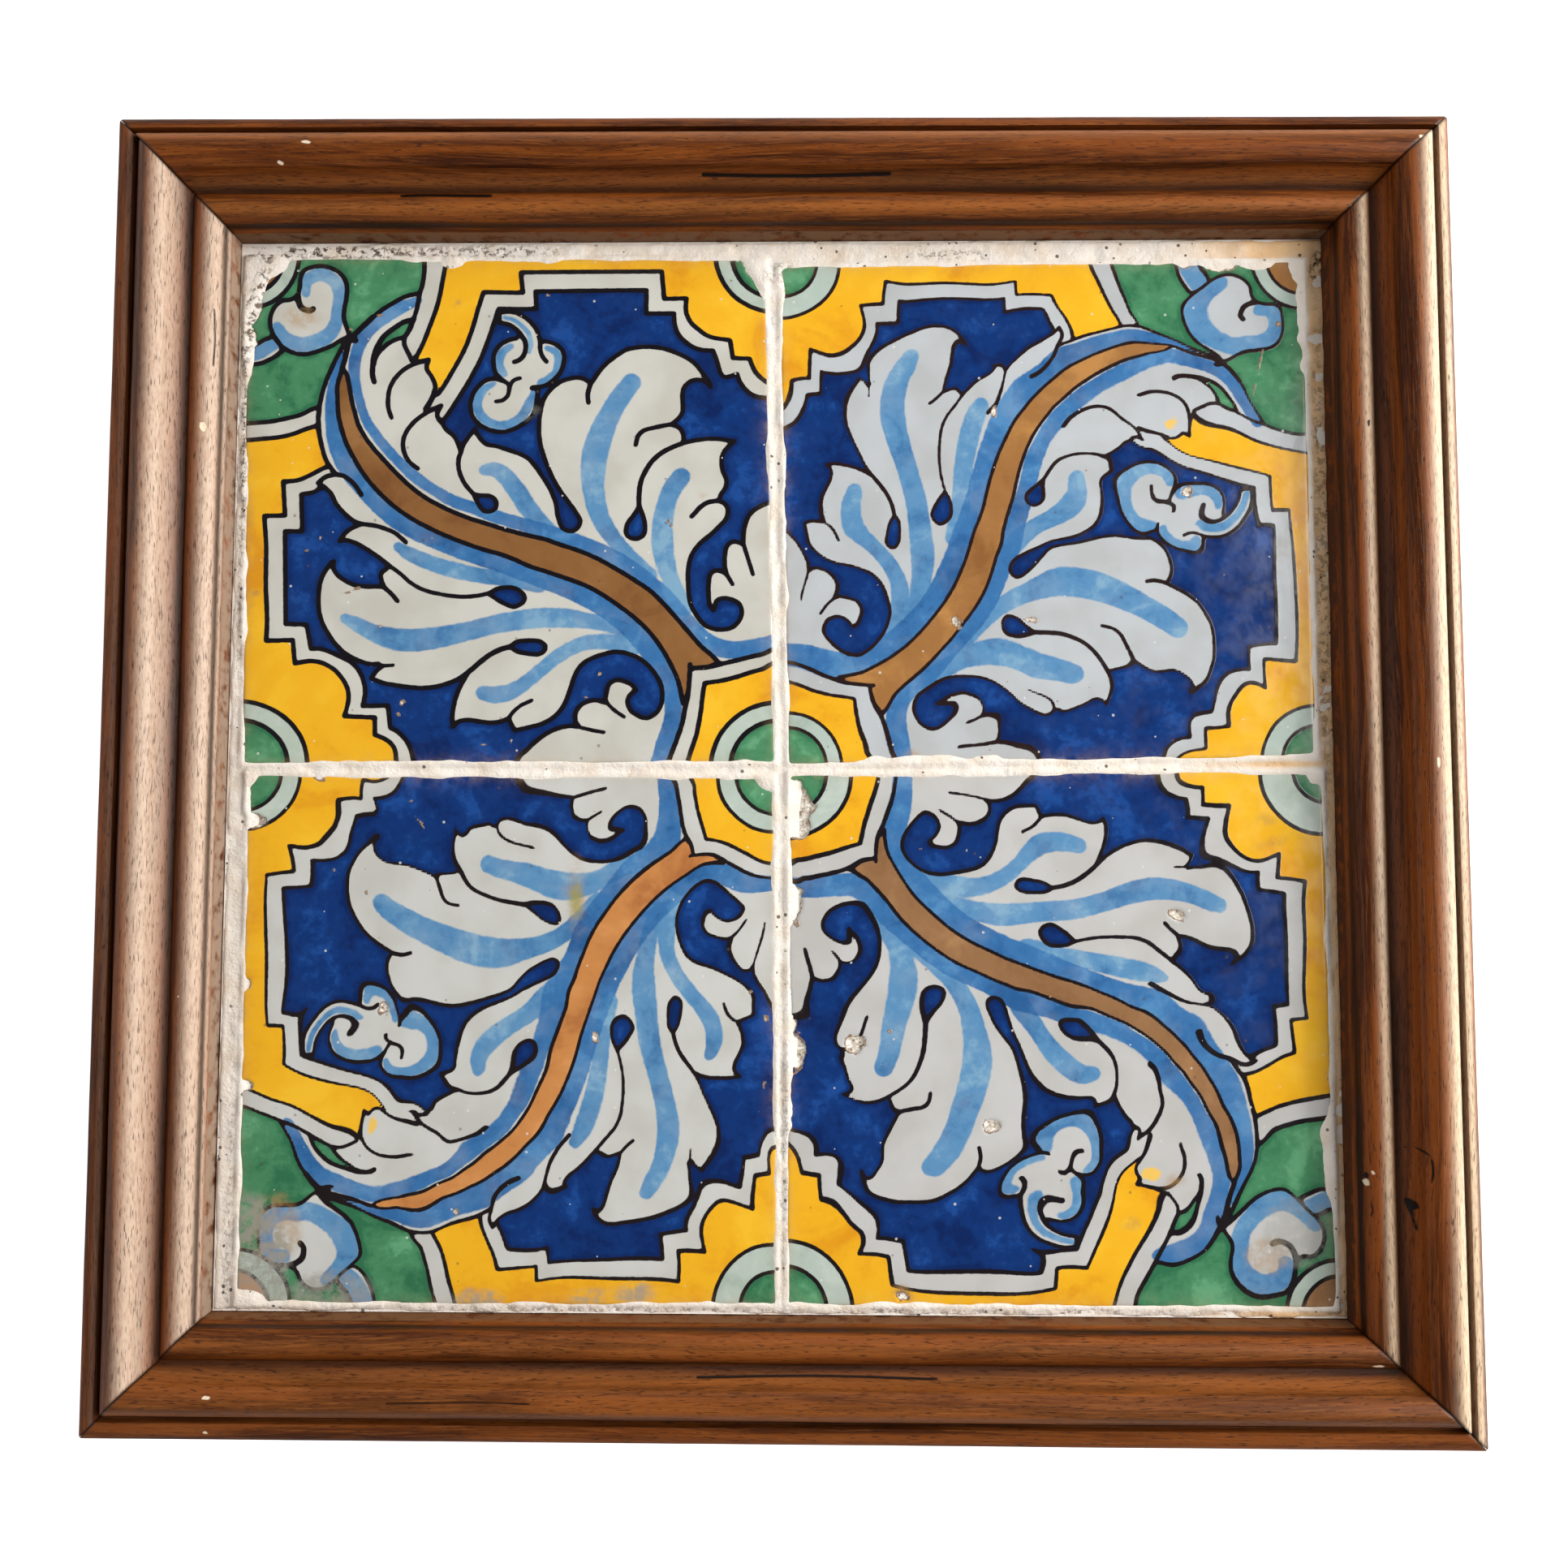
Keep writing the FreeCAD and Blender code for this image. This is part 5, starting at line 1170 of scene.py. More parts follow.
def wood_material(name, colours, shift):
    """Walnut-stained rail: dark stain and painted shade in the grooves, dark lines at the mitres, a
    painted shadow at the foot of the wall, rubbed paler on the rounds with a painted sheen, pores,
    cracks, nicks, and old plaster smeared on the wall next to the tiles, whose colour is painted
    lit on the left rail and painted shaded on the right."""
    dark, middle, light, rubbed_sheen_colour, wall = [linear(*colour) for colour in (DARK_GRAIN, *colours)]
    material, g, shader = new_material(name)
    place = g.node("ShaderNodeAttribute", {"attribute_name": "timber"}).outputs["Vector"]
    place = g.node("ShaderNodeVectorMath", {"operation": "ADD"}, {0: place, 1: shift}).outputs["Vector"]
    grain = g.use(TIMBER, {"Place": place}).outputs
    wood = g.mix(g.span(grain["Bands"], 0.36, 0.64), dark, middle)
    wood = g.lay(wood, light, g.span(grain["Fibres"], 0.45, 0.75), 0.5)
    flecks = g.noise(g.stretch(place, (420.0, 1700.0, 1700.0)), 1.0, 3.0, 0.6)
    # Rubbed pale on the rounds, with a painted sheen and highlight in this colour
    wood = g.lay(wood, rubbed_sheen_colour, g.value("wear_and_sheen"), g.span(flecks, 0.25, 0.6, 0.62, 1.0))
    wood = g.lay(wood, linear(30, 15, 7), grain["Pores"], 0.62)
    # Stain and painted shade in the grooves, dark mitre lines, painted shadow at the wall's foot
    wood = g.lay(wood, linear(30, 15, 7), g.value("stain_and_shade"), 0.85)
    # Smeared plaster on the wall by the tiles, painted lit on the left rail and shaded on the right
    wood = g.lay(wood, wall, g.value("wall"), g.span(g.noise(place, 260.0, 5.0, 0.6), 0.3, 0.55))
    wood = g.lay(wood, linear(22, 12, 7), g.span(g.value("crack"), 0.15, -0.15))
    nick = g.span(g.value("nick"), 0.12, -0.12)
    wood = g.lay(wood, linear(232, 212, 184), nick)
    g.put(shader["Base Color"], wood)
    shader["Specular IOR Level"].default_value = 0.15
    sheen = g.span(grain["Fibres"], 0.3, 0.7, 0.34, 0.46, "LINEAR")
    dull = g.math("MAXIMUM", nick, g.value("wall"))
    g.put(shader["Roughness"], g.math("MAXIMUM", sheen, g.math("MULTIPLY", dull, 0.85)))
    height = g.math("SUBTRACT", grain["Fibres"], g.math("MULTIPLY", grain["Pores"], 0.8))
    g.put(shader["Normal"], g.bump(height, 0.00010, 0.6))
    return material


def glaze_material(name, stem, tin, outline):
    """Painted tin glaze over clay: washes under dark outlines, specks, chips with painted shade in
    their broken clay, stains, and grime with painted shade along the edges.
    """
    material, g, shader = new_material(name)
    place = g.own_place()

    def area(field, softness=0.12, wander=0.12):
        """1 where a painted area lies, from the distance that the mesh carries."""
        return g.use(PAINTED_EDGE, {"Distance": g.value(field), "Softness": softness,
                                    "Wander": wander}).outputs["Mask"]

    def wash(name):
        """A paint in thin, middle and thick patches; some are thicker well inside their areas,
        where the paint ran together."""
        *colours, patch, streak = (*stem, 60.0, 0.15) if name == "brown" else WASHES[name]
        thin, middle, thick = [linear(*colour) for colour in colours]
        pool = g.span(g.value(name), -2.2, -0.5) if name in POOLED else 0.0
        return g.use(WASH, {"Thin": thin, "Middle": middle, "Thick": thick, "Patch": patch,
                            "Streak": streak, "Pool": pool}).outputs["Color"]

    paint = g.mix(g.span(g.noise(place, 60.0, 4.0), 0.35, 0.7), linear(*tin[0]), linear(*tin[1]))
    paint = g.lay(paint, wash("ring"), area("ring"), 0.75)
    strength = g.span(g.noise(place, 120.0, 3.0), 0.2, 0.6, 0.86, 1.0)
    paint = g.lay(paint, wash("pale"), area("pale", 0.3, 0.3), strength)
    paint = g.lay(paint, wash("shade"), area("shade", 0.25, 0.3), strength)
    paint = g.lay(paint, linear(150, 146, 50), area("dab", 1.0, 1.0), 0.75)
    paint = g.lay(paint, linear(238, 190, 60), area("spill", 0.4, 0.6), 0.85)
    for name in ("yellow", "green", "cobalt", "brown"):
        paint = g.lay(paint, wash(name), area(name))
    line = area("line", 0.1, 0.12)
    paint = g.lay(paint, linear(*outline), line)
    holes = g.use(SPECKS, {"Scale": 260.0, "Size": 0.10}).outputs["Mask"]
    paint = g.lay(paint, linear(225, 222, 215), holes, 0.6)
    dirt = g.use(SPECKS, {"Scale": 230.0, "Size": 0.10}).outputs["Mask"]
    paint = g.lay(paint, linear(88, 70, 58), dirt, 0.5)
    blotch = g.span(g.noise(place, 420.0, 5.0, 0.65), 0.3, 0.6)
    paint = g.lay(paint, linear(172, 134, 84), g.value("stain_brown"), blotch)
    paint = g.lay(paint, linear(150, 148, 138), g.value("stain_grey"), blotch)
    # Brown along the edges: grime with painted shade where the glaze meets the joints
    grime_and_shade = g.math("MULTIPLY", g.value("grime_and_shade"), g.span(g.noise(place, 300.0, 5.0, 0.65), 0.3, 0.7))
    paint = g.lay(paint, linear(178, 150, 116), grime_and_shade, 0.55)
    bare = area("bare", 0.1, 0.7)
    # In a chip: broken clay with painted shade in its pits, and a brown painted shadow along its edge
    clay_and_shade = g.lay(wash("clay_and_shade"), linear(136, 108, 84), g.span(g.value("bare"), -0.5, 0.0))
    g.put(shader["Base Color"], g.lay(paint, clay_and_shade, bare))
    shine = g.span(g.noise(place, 200.0, 4.0), 0.3, 0.7, 0.10, 0.24)
    g.put(shader["Roughness"], g.math("MAXIMUM", shine, g.math("MULTIPLY", bare, 0.85)))
    rise = g.math("MULTIPLY_ADD", line, 0.25, g.math("MULTIPLY", g.noise(place, 220.0, 2.0), 1.0))
    rise = g.math("MULTIPLY_ADD", holes, -0.5, rise)
    rise = g.math("MULTIPLY_ADD", g.math("MULTIPLY", bare, g.noise(place, 1100.0, 4.0)), 6.0, rise)
    g.put(shader["Normal"], g.bump(rise, 0.00008, 0.7))
    return material


def plaster_material():
    """Old white plaster: pits full of dirt, crumbs with brown gaps, beige along the right rail from
    dirt and painted shade.
    """
    material, g, shader = new_material("old_plaster")
    place = g.own_place()
    patches = g.noise(place, 110.0, 5.0, 0.6)
    body = g.mix(g.span(patches, 0.4, 0.75), linear(238, 231, 222), linear(226, 211, 193))
    # Beige towards the right rail, for dirt and painted shade from the rail
    stain = g.math("MULTIPLY", g.value("grime_and_shade"), g.span(patches, 0.2, 0.6, 0.6, 1.0))
    body = g.lay(body, linear(230, 190, 142), stain)
    lumps = g.noise(place, 620.0, 5.0, 0.7)
    gaps = g.math("MULTIPLY", g.value("crumbs"), g.span(lumps, 0.50, 0.42))
    body = g.lay(body, linear(92, 68, 50), gaps)
    pits = g.use(SPECKS, {"Scale": 520.0, "Size": 0.26}).outputs["Mask"]
    pits = g.math("MULTIPLY", pits, g.span(g.noise(place, 90.0, 3.0), 0.42, 0.56))
    body = g.lay(body, linear(58, 44, 38), pits, 0.85)
    g.put(shader["Base Color"], body)
    g.put(shader["Roughness"], 0.9)
    height = g.math("MULTIPLY_ADD", gaps, -0.8, g.math("MULTIPLY_ADD", pits, -0.5, lumps))
    g.put(shader["Normal"], g.bump(height, 0.0005, 0.8))
    return material


def nail_material():
    """Dull iron wire with rust in its pits."""
    material, g, shader = new_material("rusted_nail")
    place = g.own_place()
    rust = g.span(g.noise(place, 1400.0, 4.0, 0.65), 0.42, 0.6)
    g.put(shader["Base Color"], g.mix(rust, linear(96, 92, 88), linear(98, 56, 34)))
    g.put(shader["Metallic"], g.math("SUBTRACT", 1.0, rust))
    g.put(shader["Roughness"], g.span(rust, 0.0, 1.0, 0.45, 0.85, "LINEAR"))
    return material


def board_material():
    """Bare thin sheet of wood behind the plaster."""
    material, g, shader = new_material("bare_sheet")
    place = g.own_place()
    grain = g.use(TIMBER, {"Place": place, "Band": 0.6, "Fibre": 0.7}).outputs
    wood = g.mix(g.span(grain["Bands"], 0.3, 0.7), linear(150, 112, 74), linear(184, 146, 102))
    wood = g.lay(wood, linear(120, 84, 52), grain["Fibres"], 0.4)
    wood = g.lay(wood, linear(84, 56, 34), grain["Pores"], 0.5)
    g.put(shader["Base Color"], wood)
    g.put(shader["Roughness"], 0.78)
    g.put(shader["Normal"], g.bump(grain["Fibres"], 0.00015, 0.6))
    return material


# Rails


def arc(first, last, radius, step):
    """Points from first to last, first left out. With a radius they lie on the circle through
    both whose bulge is left of travel when the radius is plus, right when it is minus."""
    first = np.array(first)
    last = np.array(last)
    chord = last - first
    length = np.hypot(*chord)
    if radius == 0.0:
        t = np.arange(1, max(1, round(length / step)) + 1) / max(1, round(length / step))
        return first + chord * t[:, None]
    side = np.array([-chord[1], chord[0]]) / length * math.copysign(1.0, radius)
    reach = math.sqrt(radius ** 2 - (0.5 * length) ** 2)
    centre = 0.5 * (first + last) - side * reach
    start = math.atan2(*(first - centre)[::-1])
    end = math.atan2(*(last - centre)[::-1])
    turn = (end - start + math.pi) % (2.0 * math.pi) - math.pi
    count = max(2, math.ceil(abs(turn * radius) / step))
    angle = start + turn * np.arange(1, count + 1) / count
    return centre + abs(radius) * np.stack([np.cos(angle), np.sin(angle)], axis=1)


def moulding_points():
    """The closed outline of the rail: fine where it is moulded, coarse where it is plain."""
    fine, coarse = 0.32, 3.0
    runs = [arc(MOULDING[i - 1][:2], (u, z), radius, coarse if i in PLAIN_RUNS else fine)
            for i, (u, z, radius) in enumerate(MOULDING)]
    return np.concatenate(runs)


def rail_place(side, along, across, up):
    """Turns a rail's own place into the panel's: along the rail, in from its edge, up."""
    half_width = 0.5 * FRAME_WIDTH
    half_height = 0.5 * FRAME_HEIGHT
    if side == "left":
        return -half_width + across, along, up
    if side == "right":
        return half_width - across, -along, up
    if side == "bottom":
        return -along, -half_height + across, up
    return along, half_height - across, up


def rail(side, material, seed, nicks):
    """One mitred rail: the moulding carried along the rail, its ends cut at 45 degrees, so a
    point at share t of the length lies at t times (half length - distance in from the edge)."""
    outline = moulding_points()
    length = FRAME_HEIGHT if side in ("left", "right") else FRAME_WIDTH
    end_steps = np.array([0.0, 0.0008, 0.002, 0.0035, 0.006])
    even_steps = np.linspace(0.01, 1.99, RAIL_STEPS)
    share = np.concatenate([end_steps, even_steps, 2.0 - end_steps[::-1]]) - 1.0
    u = np.broadcast_to(outline[:, 0], (len(share), len(outline))).copy()
    z = np.broadcast_to(outline[:, 1], u.shape).copy()
    shifted = MEMBER_SHIFT[side] * ease(u, 0.2, 2.6) * ease(u, 12.0, 5.0) * ease(z, 20.0, 24.0)
    u = u + shifted
    along = share[:, None] * (0.5 * length - u - MITRE_GAP)
    to_end = (0.5 * length - u) - np.abs(along)
    top = ease(z, *WEAR_FROM)
    # Where the rounds are rubbed pale and carry a painted sheen, on the moulding's top only
    wear_and_sheen = sum(strength * np.exp(-((u - at) / half) ** 2) for at, half, strength in WEAR_AND_SHEEN_BANDS[side])
    wear_and_sheen = np.minimum(wear_and_sheen, 1.0) * top
    # The wall next to the tiles: smeared plaster, painted lit on the left rail and shaded on the right
    wall = ((u > RAIL_WIDTH - 0.05) & (z < TOP - 6.4)).astype(float)
    # Stain and painted shade in the grooves, dark lines at the mitres, and a painted shadow along the
    # foot of the wall where it meets the plaster
    stain_and_shade = top * sum(strength * np.exp(-((u - moves * shifted - at) / half) ** 2)
                       for at, half, strength, moves in STAIN_AND_SHADE_BANDS)
    stain_and_shade = np.maximum(stain_and_shade, 0.9 * (1.0 - ease(to_end, 0.1, 0.9)))
    stain_and_shade = np.maximum(stain_and_shade, wall * ease(z, TILE_FACE + 1.4, TILE_FACE + 0.6))
    sunk = RAIL_UNEVEN * uneven(along, u, 26.0, seed, 3)
    sunk += MITRE_WORN * (1.0 - ease(to_end, 0.0, 0.9))
    nick = np.full(u.shape, FAR)
    for nick_along, nick_across, half_long, half_wide, deep in nicks:
        away = np.hypot((along - nick_along) / half_long, (u - nick_across) / half_wide)
        away = (away - 1.0 + 0.35 * ripple(along, u, 0.9, seed + 9)) * min(half_long, half_wide)
        nick = np.minimum(nick, np.where(top > 0.5, away, FAR))
        sunk += deep * (1.0 - ease(away, -0.6, 0.2)) * top
    crack = np.full(u.shape, FAR)
    for width, text in CRACKS[side]:
        points = drawn(text, False)
        for a, b in zip(points[:-1], points[1:]):
            away = off_run(along, u, a, b)[0] - 0.5 * width
            crack = np.minimum(crack, np.where(top > 0.5, away, FAR))
    sunk += CRACK_DEPTH * (1.0 - ease(crack, -0.3, 0.3))
    timber = np.stack([along, u, z], axis=-1) * MM
    x, y, z_out = rail_place(side, along, u, z - sunk * top)
    inward = np.clip(u / RAIL_WIDTH, 0.0, 1.0)
    outer = corner_pull(x, y, FRAME_PULLS, FRAME_WIDTH, FRAME_HEIGHT)
    inner = corner_pull(x, y, OPENING_PULLS, FRAME_WIDTH, FRAME_HEIGHT)
    moved = [at + (1.0 - inward) * out + inward * in_ for at, out, in_ in zip((x, y), outer, inner)]
    points = np.stack(moved + [z_out], axis=-1)
    mesh = make_mesh("moulded_rail_" + side, points.reshape(-1, 3), *swept_faces(*u.shape))
    set_vectors(mesh, "timber", timber)
    for name, values in (("wear_and_sheen", wear_and_sheen), ("stain_and_shade", stain_and_shade), ("nick", nick), ("crack", crack),
                         ("wall", wall)):
        set_values(mesh, name, values)
    mesh.set_sharp_from_angle(angle=math.radians(40.0))
    add_piece(mesh, material, "rail_" + side)


# Tiles


def edge_spaced(half):
    """Places from -half to half: the fine rows in from each end, even steps between."""
    inner = half - EDGE_ROWS[-1] - FACE_STEP
    middle = np.linspace(-inner, inner, round(2.0 * inner / FACE_STEP) + 1)
    return np.concatenate([-half + EDGE_ROWS, middle, half - EDGE_ROWS[::-1]])


def tile_outline(half_x, half_y, x, y):
    """Rounds the corners of a rectangle's net: inside each corner square a point keeps its
    bearing from the square's inner corner, and its square distance becomes its round one."""
    dx = np.abs(x) - (half_x - TILE_CORNER)
    dy = np.abs(y) - (half_y - TILE_CORNER)
    inside = (dx > 0.0) & (dy > 0.0)
    square = np.maximum(dx, dy)
    scale = np.where(inside, square / np.maximum(np.hypot(dx, dy), 1e-9), 1.0)
    x = np.where(inside, np.sign(x) * (half_x - TILE_CORNER + dx * scale), x)
    y = np.where(inside, np.sign(y) * (half_y - TILE_CORNER + dy * scale), y)
    return x, y


def motif_place(x, y, quarter_turns):
    """From a tile's own millimetres to the motif's: unstretch, then turn back a quarter turn
    anticlockwise for each quarter turn that the tile was laid clockwise."""
    a = x * MOTIF_HALF / (0.5 * TILE_WIDTH)
    b = y * MOTIF_HALF / (0.5 * TILE_LENGTH)
    for _ in range(quarter_turns):
        a, b = -b, a
    return a, b


def corner_pull(x, y, pulls, width=TILE_WIDTH, length=TILE_LENGTH):
    """How far a place moves with the four corners of a plate: each corner's own move in
    proportion to the place's nearness to it, across and along."""
    s = 0.5 + x / width
    t = 0.5 + y / length
    shares = ((1.0 - s) * t, s * t, s * (1.0 - t), (1.0 - s) * (1.0 - t))
    return [sum(share * pull[k] for share, pull in zip(shares, pulls)) for k in (0, 1)]


def spots(u, v, marks):
    """Distance to the nearest of some leaning ovals, minus inside it."""
    nearest = np.full(u.shape, FAR)
    for at_u, at_v, half_long, half_wide, lean in marks:
        turn = math.radians(lean)
        p = ((u - at_u) * math.cos(turn) + (v - at_v) * math.sin(turn)) / half_long
        q = ((v - at_v) * math.cos(turn) - (u - at_u) * math.sin(turn)) / half_wide
        nearest = np.minimum(nearest, (np.hypot(p, q) - 1.0) * min(half_long, half_wide))
    return nearest


def tile_centre(node):
    """Middle of a tile's packed box, which is the middle of the tile."""
    low, high = box_mm(node)
    return 0.5 * (low + high)


def painting(node, quarter_turns, u, v, fields, wear, seed):
    """Distances of every paint on one tile: the motif's, bent to the tile's own landmarks, cut
    off at the round medallions and joined with them, then made broader or thicker."""
    master_u, master_v = warp(u, v, landmark_pairs(quarter_turns))
    carried = {name: sample(field, master_u, master_v) for name, field in fields.items()}
    wobble = 0.25 * ripple(u, v, 9.0, seed + 31)
    discs = {}
    for at_u, at_v, boss, ring, paint in MEDALLIONS[node]:
        away = np.hypot(u - at_u, v - at_v) + wobble
        discs.setdefault(paint, []).append(away - boss)
        discs.setdefault("ring", []).append(away - ring)
    near = {paint: np.minimum.reduce(parts) for paint, parts in discs.items()}
    rims = [np.abs(part) - 0.5 * OUTLINE_WIDTH for parts in discs.values() for part in parts]
    for paint in ("line", "yellow", "cobalt", "green"):
        carried[paint] = np.maximum(carried[paint], -near["ring"])
    carried["line"] = np.minimum.reduce([carried["line"]] + rims) - OUTLINES[node][0]
    for paint in ("green", "brown"):
        carried[paint] = np.minimum(carried[paint], near[paint])
    carried["ring"] = near["ring"]
    for paint in ("pale", "shade"):
        carried[paint] = carried[paint] - BROADER[node][paint]
    carried["dab"] = spots(u, v, DABS.get(node, []))
    carried["spill"] = spots(master_u, master_v, SPILLS.get(node, [])) + 0.5 * wear
    return carried


def stained(node, u, v, wear, wanted):
    """How strong one kind of stain is on a tile: at each place that of its strongest oval."""
    stain = np.zeros(u.shape)
    for *oval, strength, kind in STAINS[node]:
        if kind == wanted:
            stain = np.maximum(stain, strength * ease(spots(u, v, [oval]) + 0.5 * wear, 1.2, -1.2))
    return stain


def tile(node, quarter_turns, material, fields, seed):
    """One painted tile: a face that dips at its rolled edge, sides leaning in, a flat back.

    The face is a net over the tile; its height is the face level less the roll, less soft
    hollows, less the depth of each chip. The painting's distances ride on the net's points.
    """
    half_x = 0.5 * TILE_WIDTH
    half_y = 0.5 * TILE_LENGTH
    x, y = np.meshgrid(edge_spaced(half_x), edge_spaced(half_y))
    rows, columns = x.shape
    to_edge = np.minimum(half_x - np.abs(x), half_y - np.abs(y))
    x, y = tile_outline(half_x, half_y, x, y)
    out_x, out_y = corner_pull(x, y, TILE_PULLS[node])
    x = x + out_x
    y = y + out_y
    roll = np.clip(GLAZE_ROLL - to_edge, 0.0, GLAZE_ROLL)
    dip = GLAZE_ROLL - np.sqrt(np.maximum(GLAZE_ROLL ** 2 - roll ** 2, 0.0))
    dip += GLAZE_UNEVEN * uneven(x, y, 24.0, seed, 2)
    drift_x, drift_y = corner_pull(x, y, PAINTING_PULLS[node])
    u, v = motif_place(x - drift_x, y - drift_y, quarter_turns)
    wear = rough(u, v, 3.2, seed + 20, 4)
    bare = 1.3 * wear + 1.0 + to_edge * 1.9
    for *oval, deep in MARKS[node]:
        small = min(oval[2], oval[3])
        away = spots(u, v, [oval]) + 0.5 * min(small, 2.0) * wear
        bare = np.minimum(bare, away)
        dip += deep * (1.0 - ease(away, -0.8, 0.15))
    carried = painting(node, quarter_turns, u, v, fields, wear, seed)
    carried["stain_grey"] = stained(node, u, v, wear, 0)
    carried["stain_brown"] = stained(node, u, v, wear, 1)
    # Brown towards the edges, for grime and painted shade along the joints
    carried["grime_and_shade"] = np.exp(-to_edge / 1.3)
    carried["bare"] = bare
    turned_x = x * math.cos(TILE_TURN) - y * math.sin(TILE_TURN)
    turned_y = x * math.sin(TILE_TURN) + y * math.cos(TILE_TURN)
    centre = tile_centre(node)
    face = np.stack([centre[0] + turned_x, centre[1] + turned_y, TILE_FACE - dip], axis=-1)
    face = face.reshape(-1, 3)
    number = np.arange(rows * columns).reshape(rows, columns)
    rim = np.concatenate([number[0, :-1], number[:-1, -1], number[-1, :0:-1], number[:0:-1, 0]])
    inset = 1.0 - TILE_UNDERCUT / np.array([half_x, half_y])
    back = face[rim].copy()
    back[:, :2] = centre[:2] + (back[:, :2] - centre[:2]) * inset
    back[:, 2] = TILE_BACK
    foot = len(face) + np.arange(len(rim))
    sides = np.stack([foot, np.roll(foot, -1), np.roll(rim, -1), rim], axis=1)
    quads = np.concatenate([grid_quads(rows, columns), sides])
    mesh = make_mesh("glazed_" + node, np.concatenate([face, back]), quads, [foot[::-1]])
    behind = {"bare": -2.0, "grime_and_shade": 1.0, "stain_grey": 0.0, "stain_brown": 0.0}
    for name, values in carried.items():
        edge = np.full(len(rim), behind.get(name, FAR))
        set_values(mesh, name, np.concatenate([values.ravel(), edge]))
    add_piece(mesh, material, node)


# Plaster


def inside_tile(x, y, node):
    """How far a place lies inside a tile's outline; minus outside it."""
    centre = tile_centre(node)
    a = (x - centre[0]) * math.cos(TILE_TURN) + (y - centre[1]) * math.sin(TILE_TURN)
    b = (y - centre[1]) * math.cos(TILE_TURN) - (x - centre[0]) * math.sin(TILE_TURN)
    out_x, out_y = corner_pull(a, b, TILE_PULLS[node])
    a = a - out_x
    b = b - out_y
    return np.minimum(0.5 * TILE_WIDTH - np.abs(a), 0.5 * TILE_LENGTH - np.abs(b))


def plaster_skim(material):
    """The trowelled top of the plaster: a net over the opening, kept only along the joints and
    the margins. Its height is the joint level plus roughness; over a tile's edge it thins out
    with the distance in from the edge and so ends in a ragged line where it meets the glaze."""
    x, y = np.meshgrid(*[np.linspace(-half, half, round(2.0 * half / PLASTER_STEP) + 1)
                         for half in OPENING])
    over = np.maximum.reduce([inside_tile(x, y, node) for node, _ in TILES])
    lumps = rough(x, y, 5.0, 71, 4)
    smear = rough(x, y, 9.0, 75, 3)
    lap = spots(x, y, LAPS) + 0.5 * lumps
    reach = np.minimum(over, lap)
    joint = TILE_FACE - JOINT_SUNK + JOINT_ROUGH * lumps
    lapped = TILE_FACE + LAP_UP + LAP_ROUGH * smear - LAP_THINS * np.maximum(reach, 0.0)
    lapped = lapped + LAP_GAINS * ease(lap, 0.0, -1.0)
    height = np.where(over > -0.4, np.maximum(lapped, TILE_FACE - LAP_ENDS), joint)
    near_rail = np.minimum(OPENING[0] - np.abs(x), OPENING[1] - np.abs(y))
    height = height - RAIL_DIP * (1.0 - ease(near_rail, 0.0, 0.8))
    number = np.arange(x.size).reshape(x.shape)
    quads = grid_quads(*x.shape)
    widest_lap = 4.5
    quads = quads[reach.ravel()[quads].mean(axis=1) < widest_lap]
    used = np.unique(quads)
    renumber = np.full(number.size, -1)
    renumber[used] = np.arange(len(used))
    points = np.stack([x, y, height], axis=-1).reshape(-1, 3)[used]
    mesh = make_mesh("plaster_skim", points, renumber[quads])
    # Beige towards the right rail off the tiles, for dirt and painted shade from the rail; faint
    # elsewhere
    grime_and_shade = np.maximum(ease(x, 100.0, 130.0) * ease(over, -0.2, -1.2), 0.06)
    crumbs = np.zeros(x.shape)
    for *oval, strength in CRUMBS:
        crumbs = np.maximum(crumbs, strength * ease(spots(x, y, [oval]) + 0.4 * lumps, 0.8, -0.8))
    set_values(mesh, "grime_and_shade", grime_and_shade.ravel()[used])
    set_values(mesh, "crumbs", crumbs.ravel()[used])
    piece = add_piece(mesh, material)
    shell = piece.modifiers.new("thickness", "SOLIDIFY")
    shell.thickness = 0.6 * MM
    shell.offset = -1.0


def pin(name, place, lean, material):
    """A small wire nail that holds the board in the rabbet: a circle carried along a slightly
    bowed path that lies on the back of the board and ends in the rail."""
    turn = np.linspace(0.0, 1.0, 9)
    path_x = NAIL_LENGTH * turn - NAIL_SHOWN
    path_z = 0.1 * np.sin(math.pi * turn)
    ring = np.linspace(0.0, 2.0 * math.pi, 12, endpoint=False)
    size = NAIL_RADIUS * np.where(turn < 0.12, 1.15, 1.0)
    x = np.broadcast_to(path_x[:, None], (len(turn), len(ring)))
    y = size[:, None] * np.cos(ring)[None, :]
    z = path_z[:, None] + size[:, None] * np.sin(ring)[None, :]
    out_x = place[0] + x * math.cos(lean) - y * math.sin(lean)
    out_y = place[1] + x * math.sin(lean) + y * math.cos(lean)
    points = np.stack([out_x, out_y, place[2] + z], axis=-1).reshape(-1, 3)
    mesh = make_mesh(name, points, *swept_faces(len(turn), len(ring)))
    add_piece(mesh, material)


def back_panel(material):
    """The thin board behind the plaster: a flat box whose back face stands BOARD_SUNK inside
    the backs of the rails."""
    low, high = box_mm("back_board")
    corners = [(low[0], low[1]), (high[0], low[1]), (high[0], high[1]), (low[0], high[1])]
    points = np.array([(x, y, z) for z in (BOARD_SUNK, high[2]) for x, y in corners])
    quads = np.array([(0, 3, 2, 1), (4, 5, 6, 7), (0, 1, 5, 4), (1, 2, 6, 5), (2, 3, 7, 6), (3, 0, 4, 7)])
    mesh = make_mesh("backing_board", points, quads)
    add_piece(mesh, material, "back_board")


# Building the panel

fields = motif_fields()

for seed, (side, (*colours, shift)) in enumerate(RAILS.items()):
    rail(side, wood_material("walnut_rail_" + side, colours, shift), 100 + 20 * seed, NICKS[side])

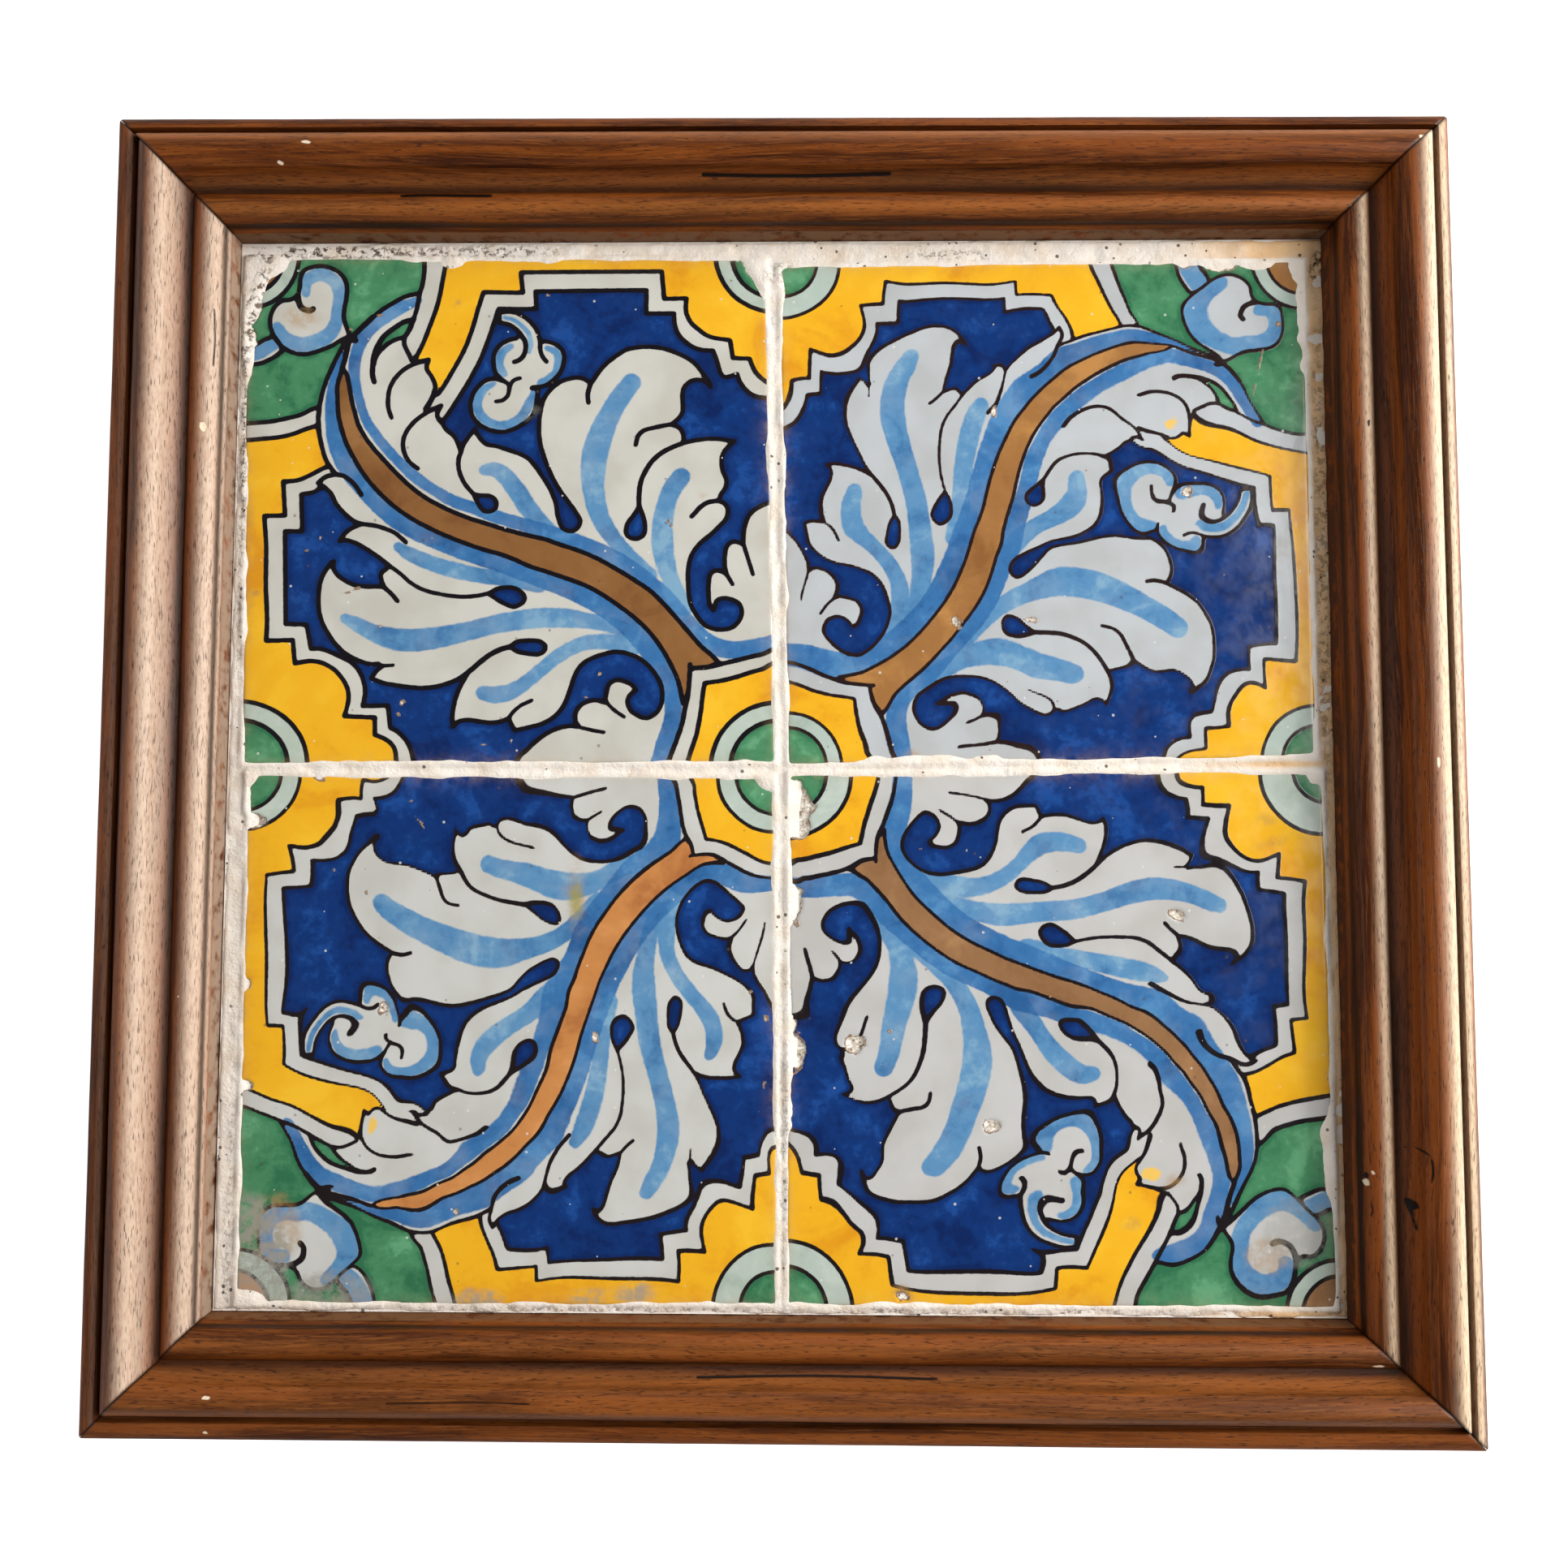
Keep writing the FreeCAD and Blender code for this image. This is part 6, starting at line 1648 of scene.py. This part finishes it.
for node, quarter_turns in TILES:
    material = glaze_material("glaze_" + node, STEMS[node], TINS[node], OUTLINES[node][1])
    tile(node, quarter_turns, material, fields, 200 + 40 * quarter_turns)

plaster = plaster_material()
plaster_skim(plaster)
bed = frame["nodes"]["plaster_bed"]
bed.data.materials[0] = plaster
back_panel(board_material())
nail = nail_material()
for number, (x, y, lean) in enumerate(PINS, 1):
    pin("board_nail_%d" % number, (x, y, BOARD_SUNK - 0.1), math.radians(lean), nail)

# Camera, light and ground

camera = bpy.data.objects.new("camera", bpy.data.cameras.new("camera"))
bpy.context.scene.collection.objects.link(camera)
camera.location = (0.00560, -0.02342, 0.34132)
camera.rotation_euler = (math.radians(3.241), math.radians(0.739), math.radians(0.123))
camera.data.lens = 28.118
camera.data.sensor_width = 36.0
camera.data.clip_start = 0.01
bpy.context.scene.camera = camera


def lamp(name, place, size, power, tint):
    """A soft square lamp that faces the middle of the panel."""
    light = bpy.data.lights.new(name, "AREA")
    light.size = size
    light.energy = power
    light.color = tint
    holder = bpy.data.objects.new(name, light)
    bpy.context.scene.collection.objects.link(holder)
    away = np.array(place) / np.linalg.norm(place)
    side = np.cross((0.0, 0.0, 1.0), away)
    side = side / np.linalg.norm(side)
    upward = np.cross(away, side)
    turn = Matrix((side, upward, away)).transposed().to_4x4()
    holder.matrix_world = Matrix.Translation(place) @ turn


for looks in LAMPS:
    lamp(*looks)

world = bpy.data.worlds.new("studio")
bpy.context.scene.world = world
world.use_nodes = True
sky = Graph(world.node_tree)
backdrop = world.node_tree.nodes["Background"]
way = sky.node("ShaderNodeTexCoord").outputs["Generated"]
upward = sky.node("ShaderNodeSeparateXYZ", None, {0: way}).outputs["Z"]
dimmed = sky.span(upward, 0.45, 0.9, 0.56, 0.12)
seen = sky.node("ShaderNodeLightPath").outputs["Is Camera Ray"]
sky.put(backdrop.inputs["Color"], (1.0, 1.0, 1.0, 1.0))
sky.put(backdrop.inputs["Strength"], sky.math("MAXIMUM", dimmed, seen))


def ground():
    """A wide flat net under the panel."""
    half = 1600.0
    x, y = np.meshgrid(np.linspace(-half, half, 9), np.linspace(-half, half, 9))
    points = np.stack([x, y, np.full(x.shape, -0.05)], axis=-1).reshape(-1, 3)
    mesh = make_mesh("ground", points, grid_quads(9, 9))
    floor = bpy.data.objects.new("ground", mesh)
    bpy.context.scene.collection.objects.link(floor)
    material, g, shader = new_material("white_ground")
    g.put(shader["Base Color"], (0.86, 0.86, 0.86, 1.0))
    g.put(shader["Roughness"], 0.9)
    g.put(shader["Emission Color"], (1.0, 1.0, 1.0, 1.0))
    camera_ray = g.node("ShaderNodeLightPath").outputs["Is Camera Ray"]
    g.put(shader["Emission Strength"], g.math("MULTIPLY", camera_ray, 0.8))
    mesh.materials.append(material)


ground()
bpy.context.scene.view_settings.view_transform = "Standard"
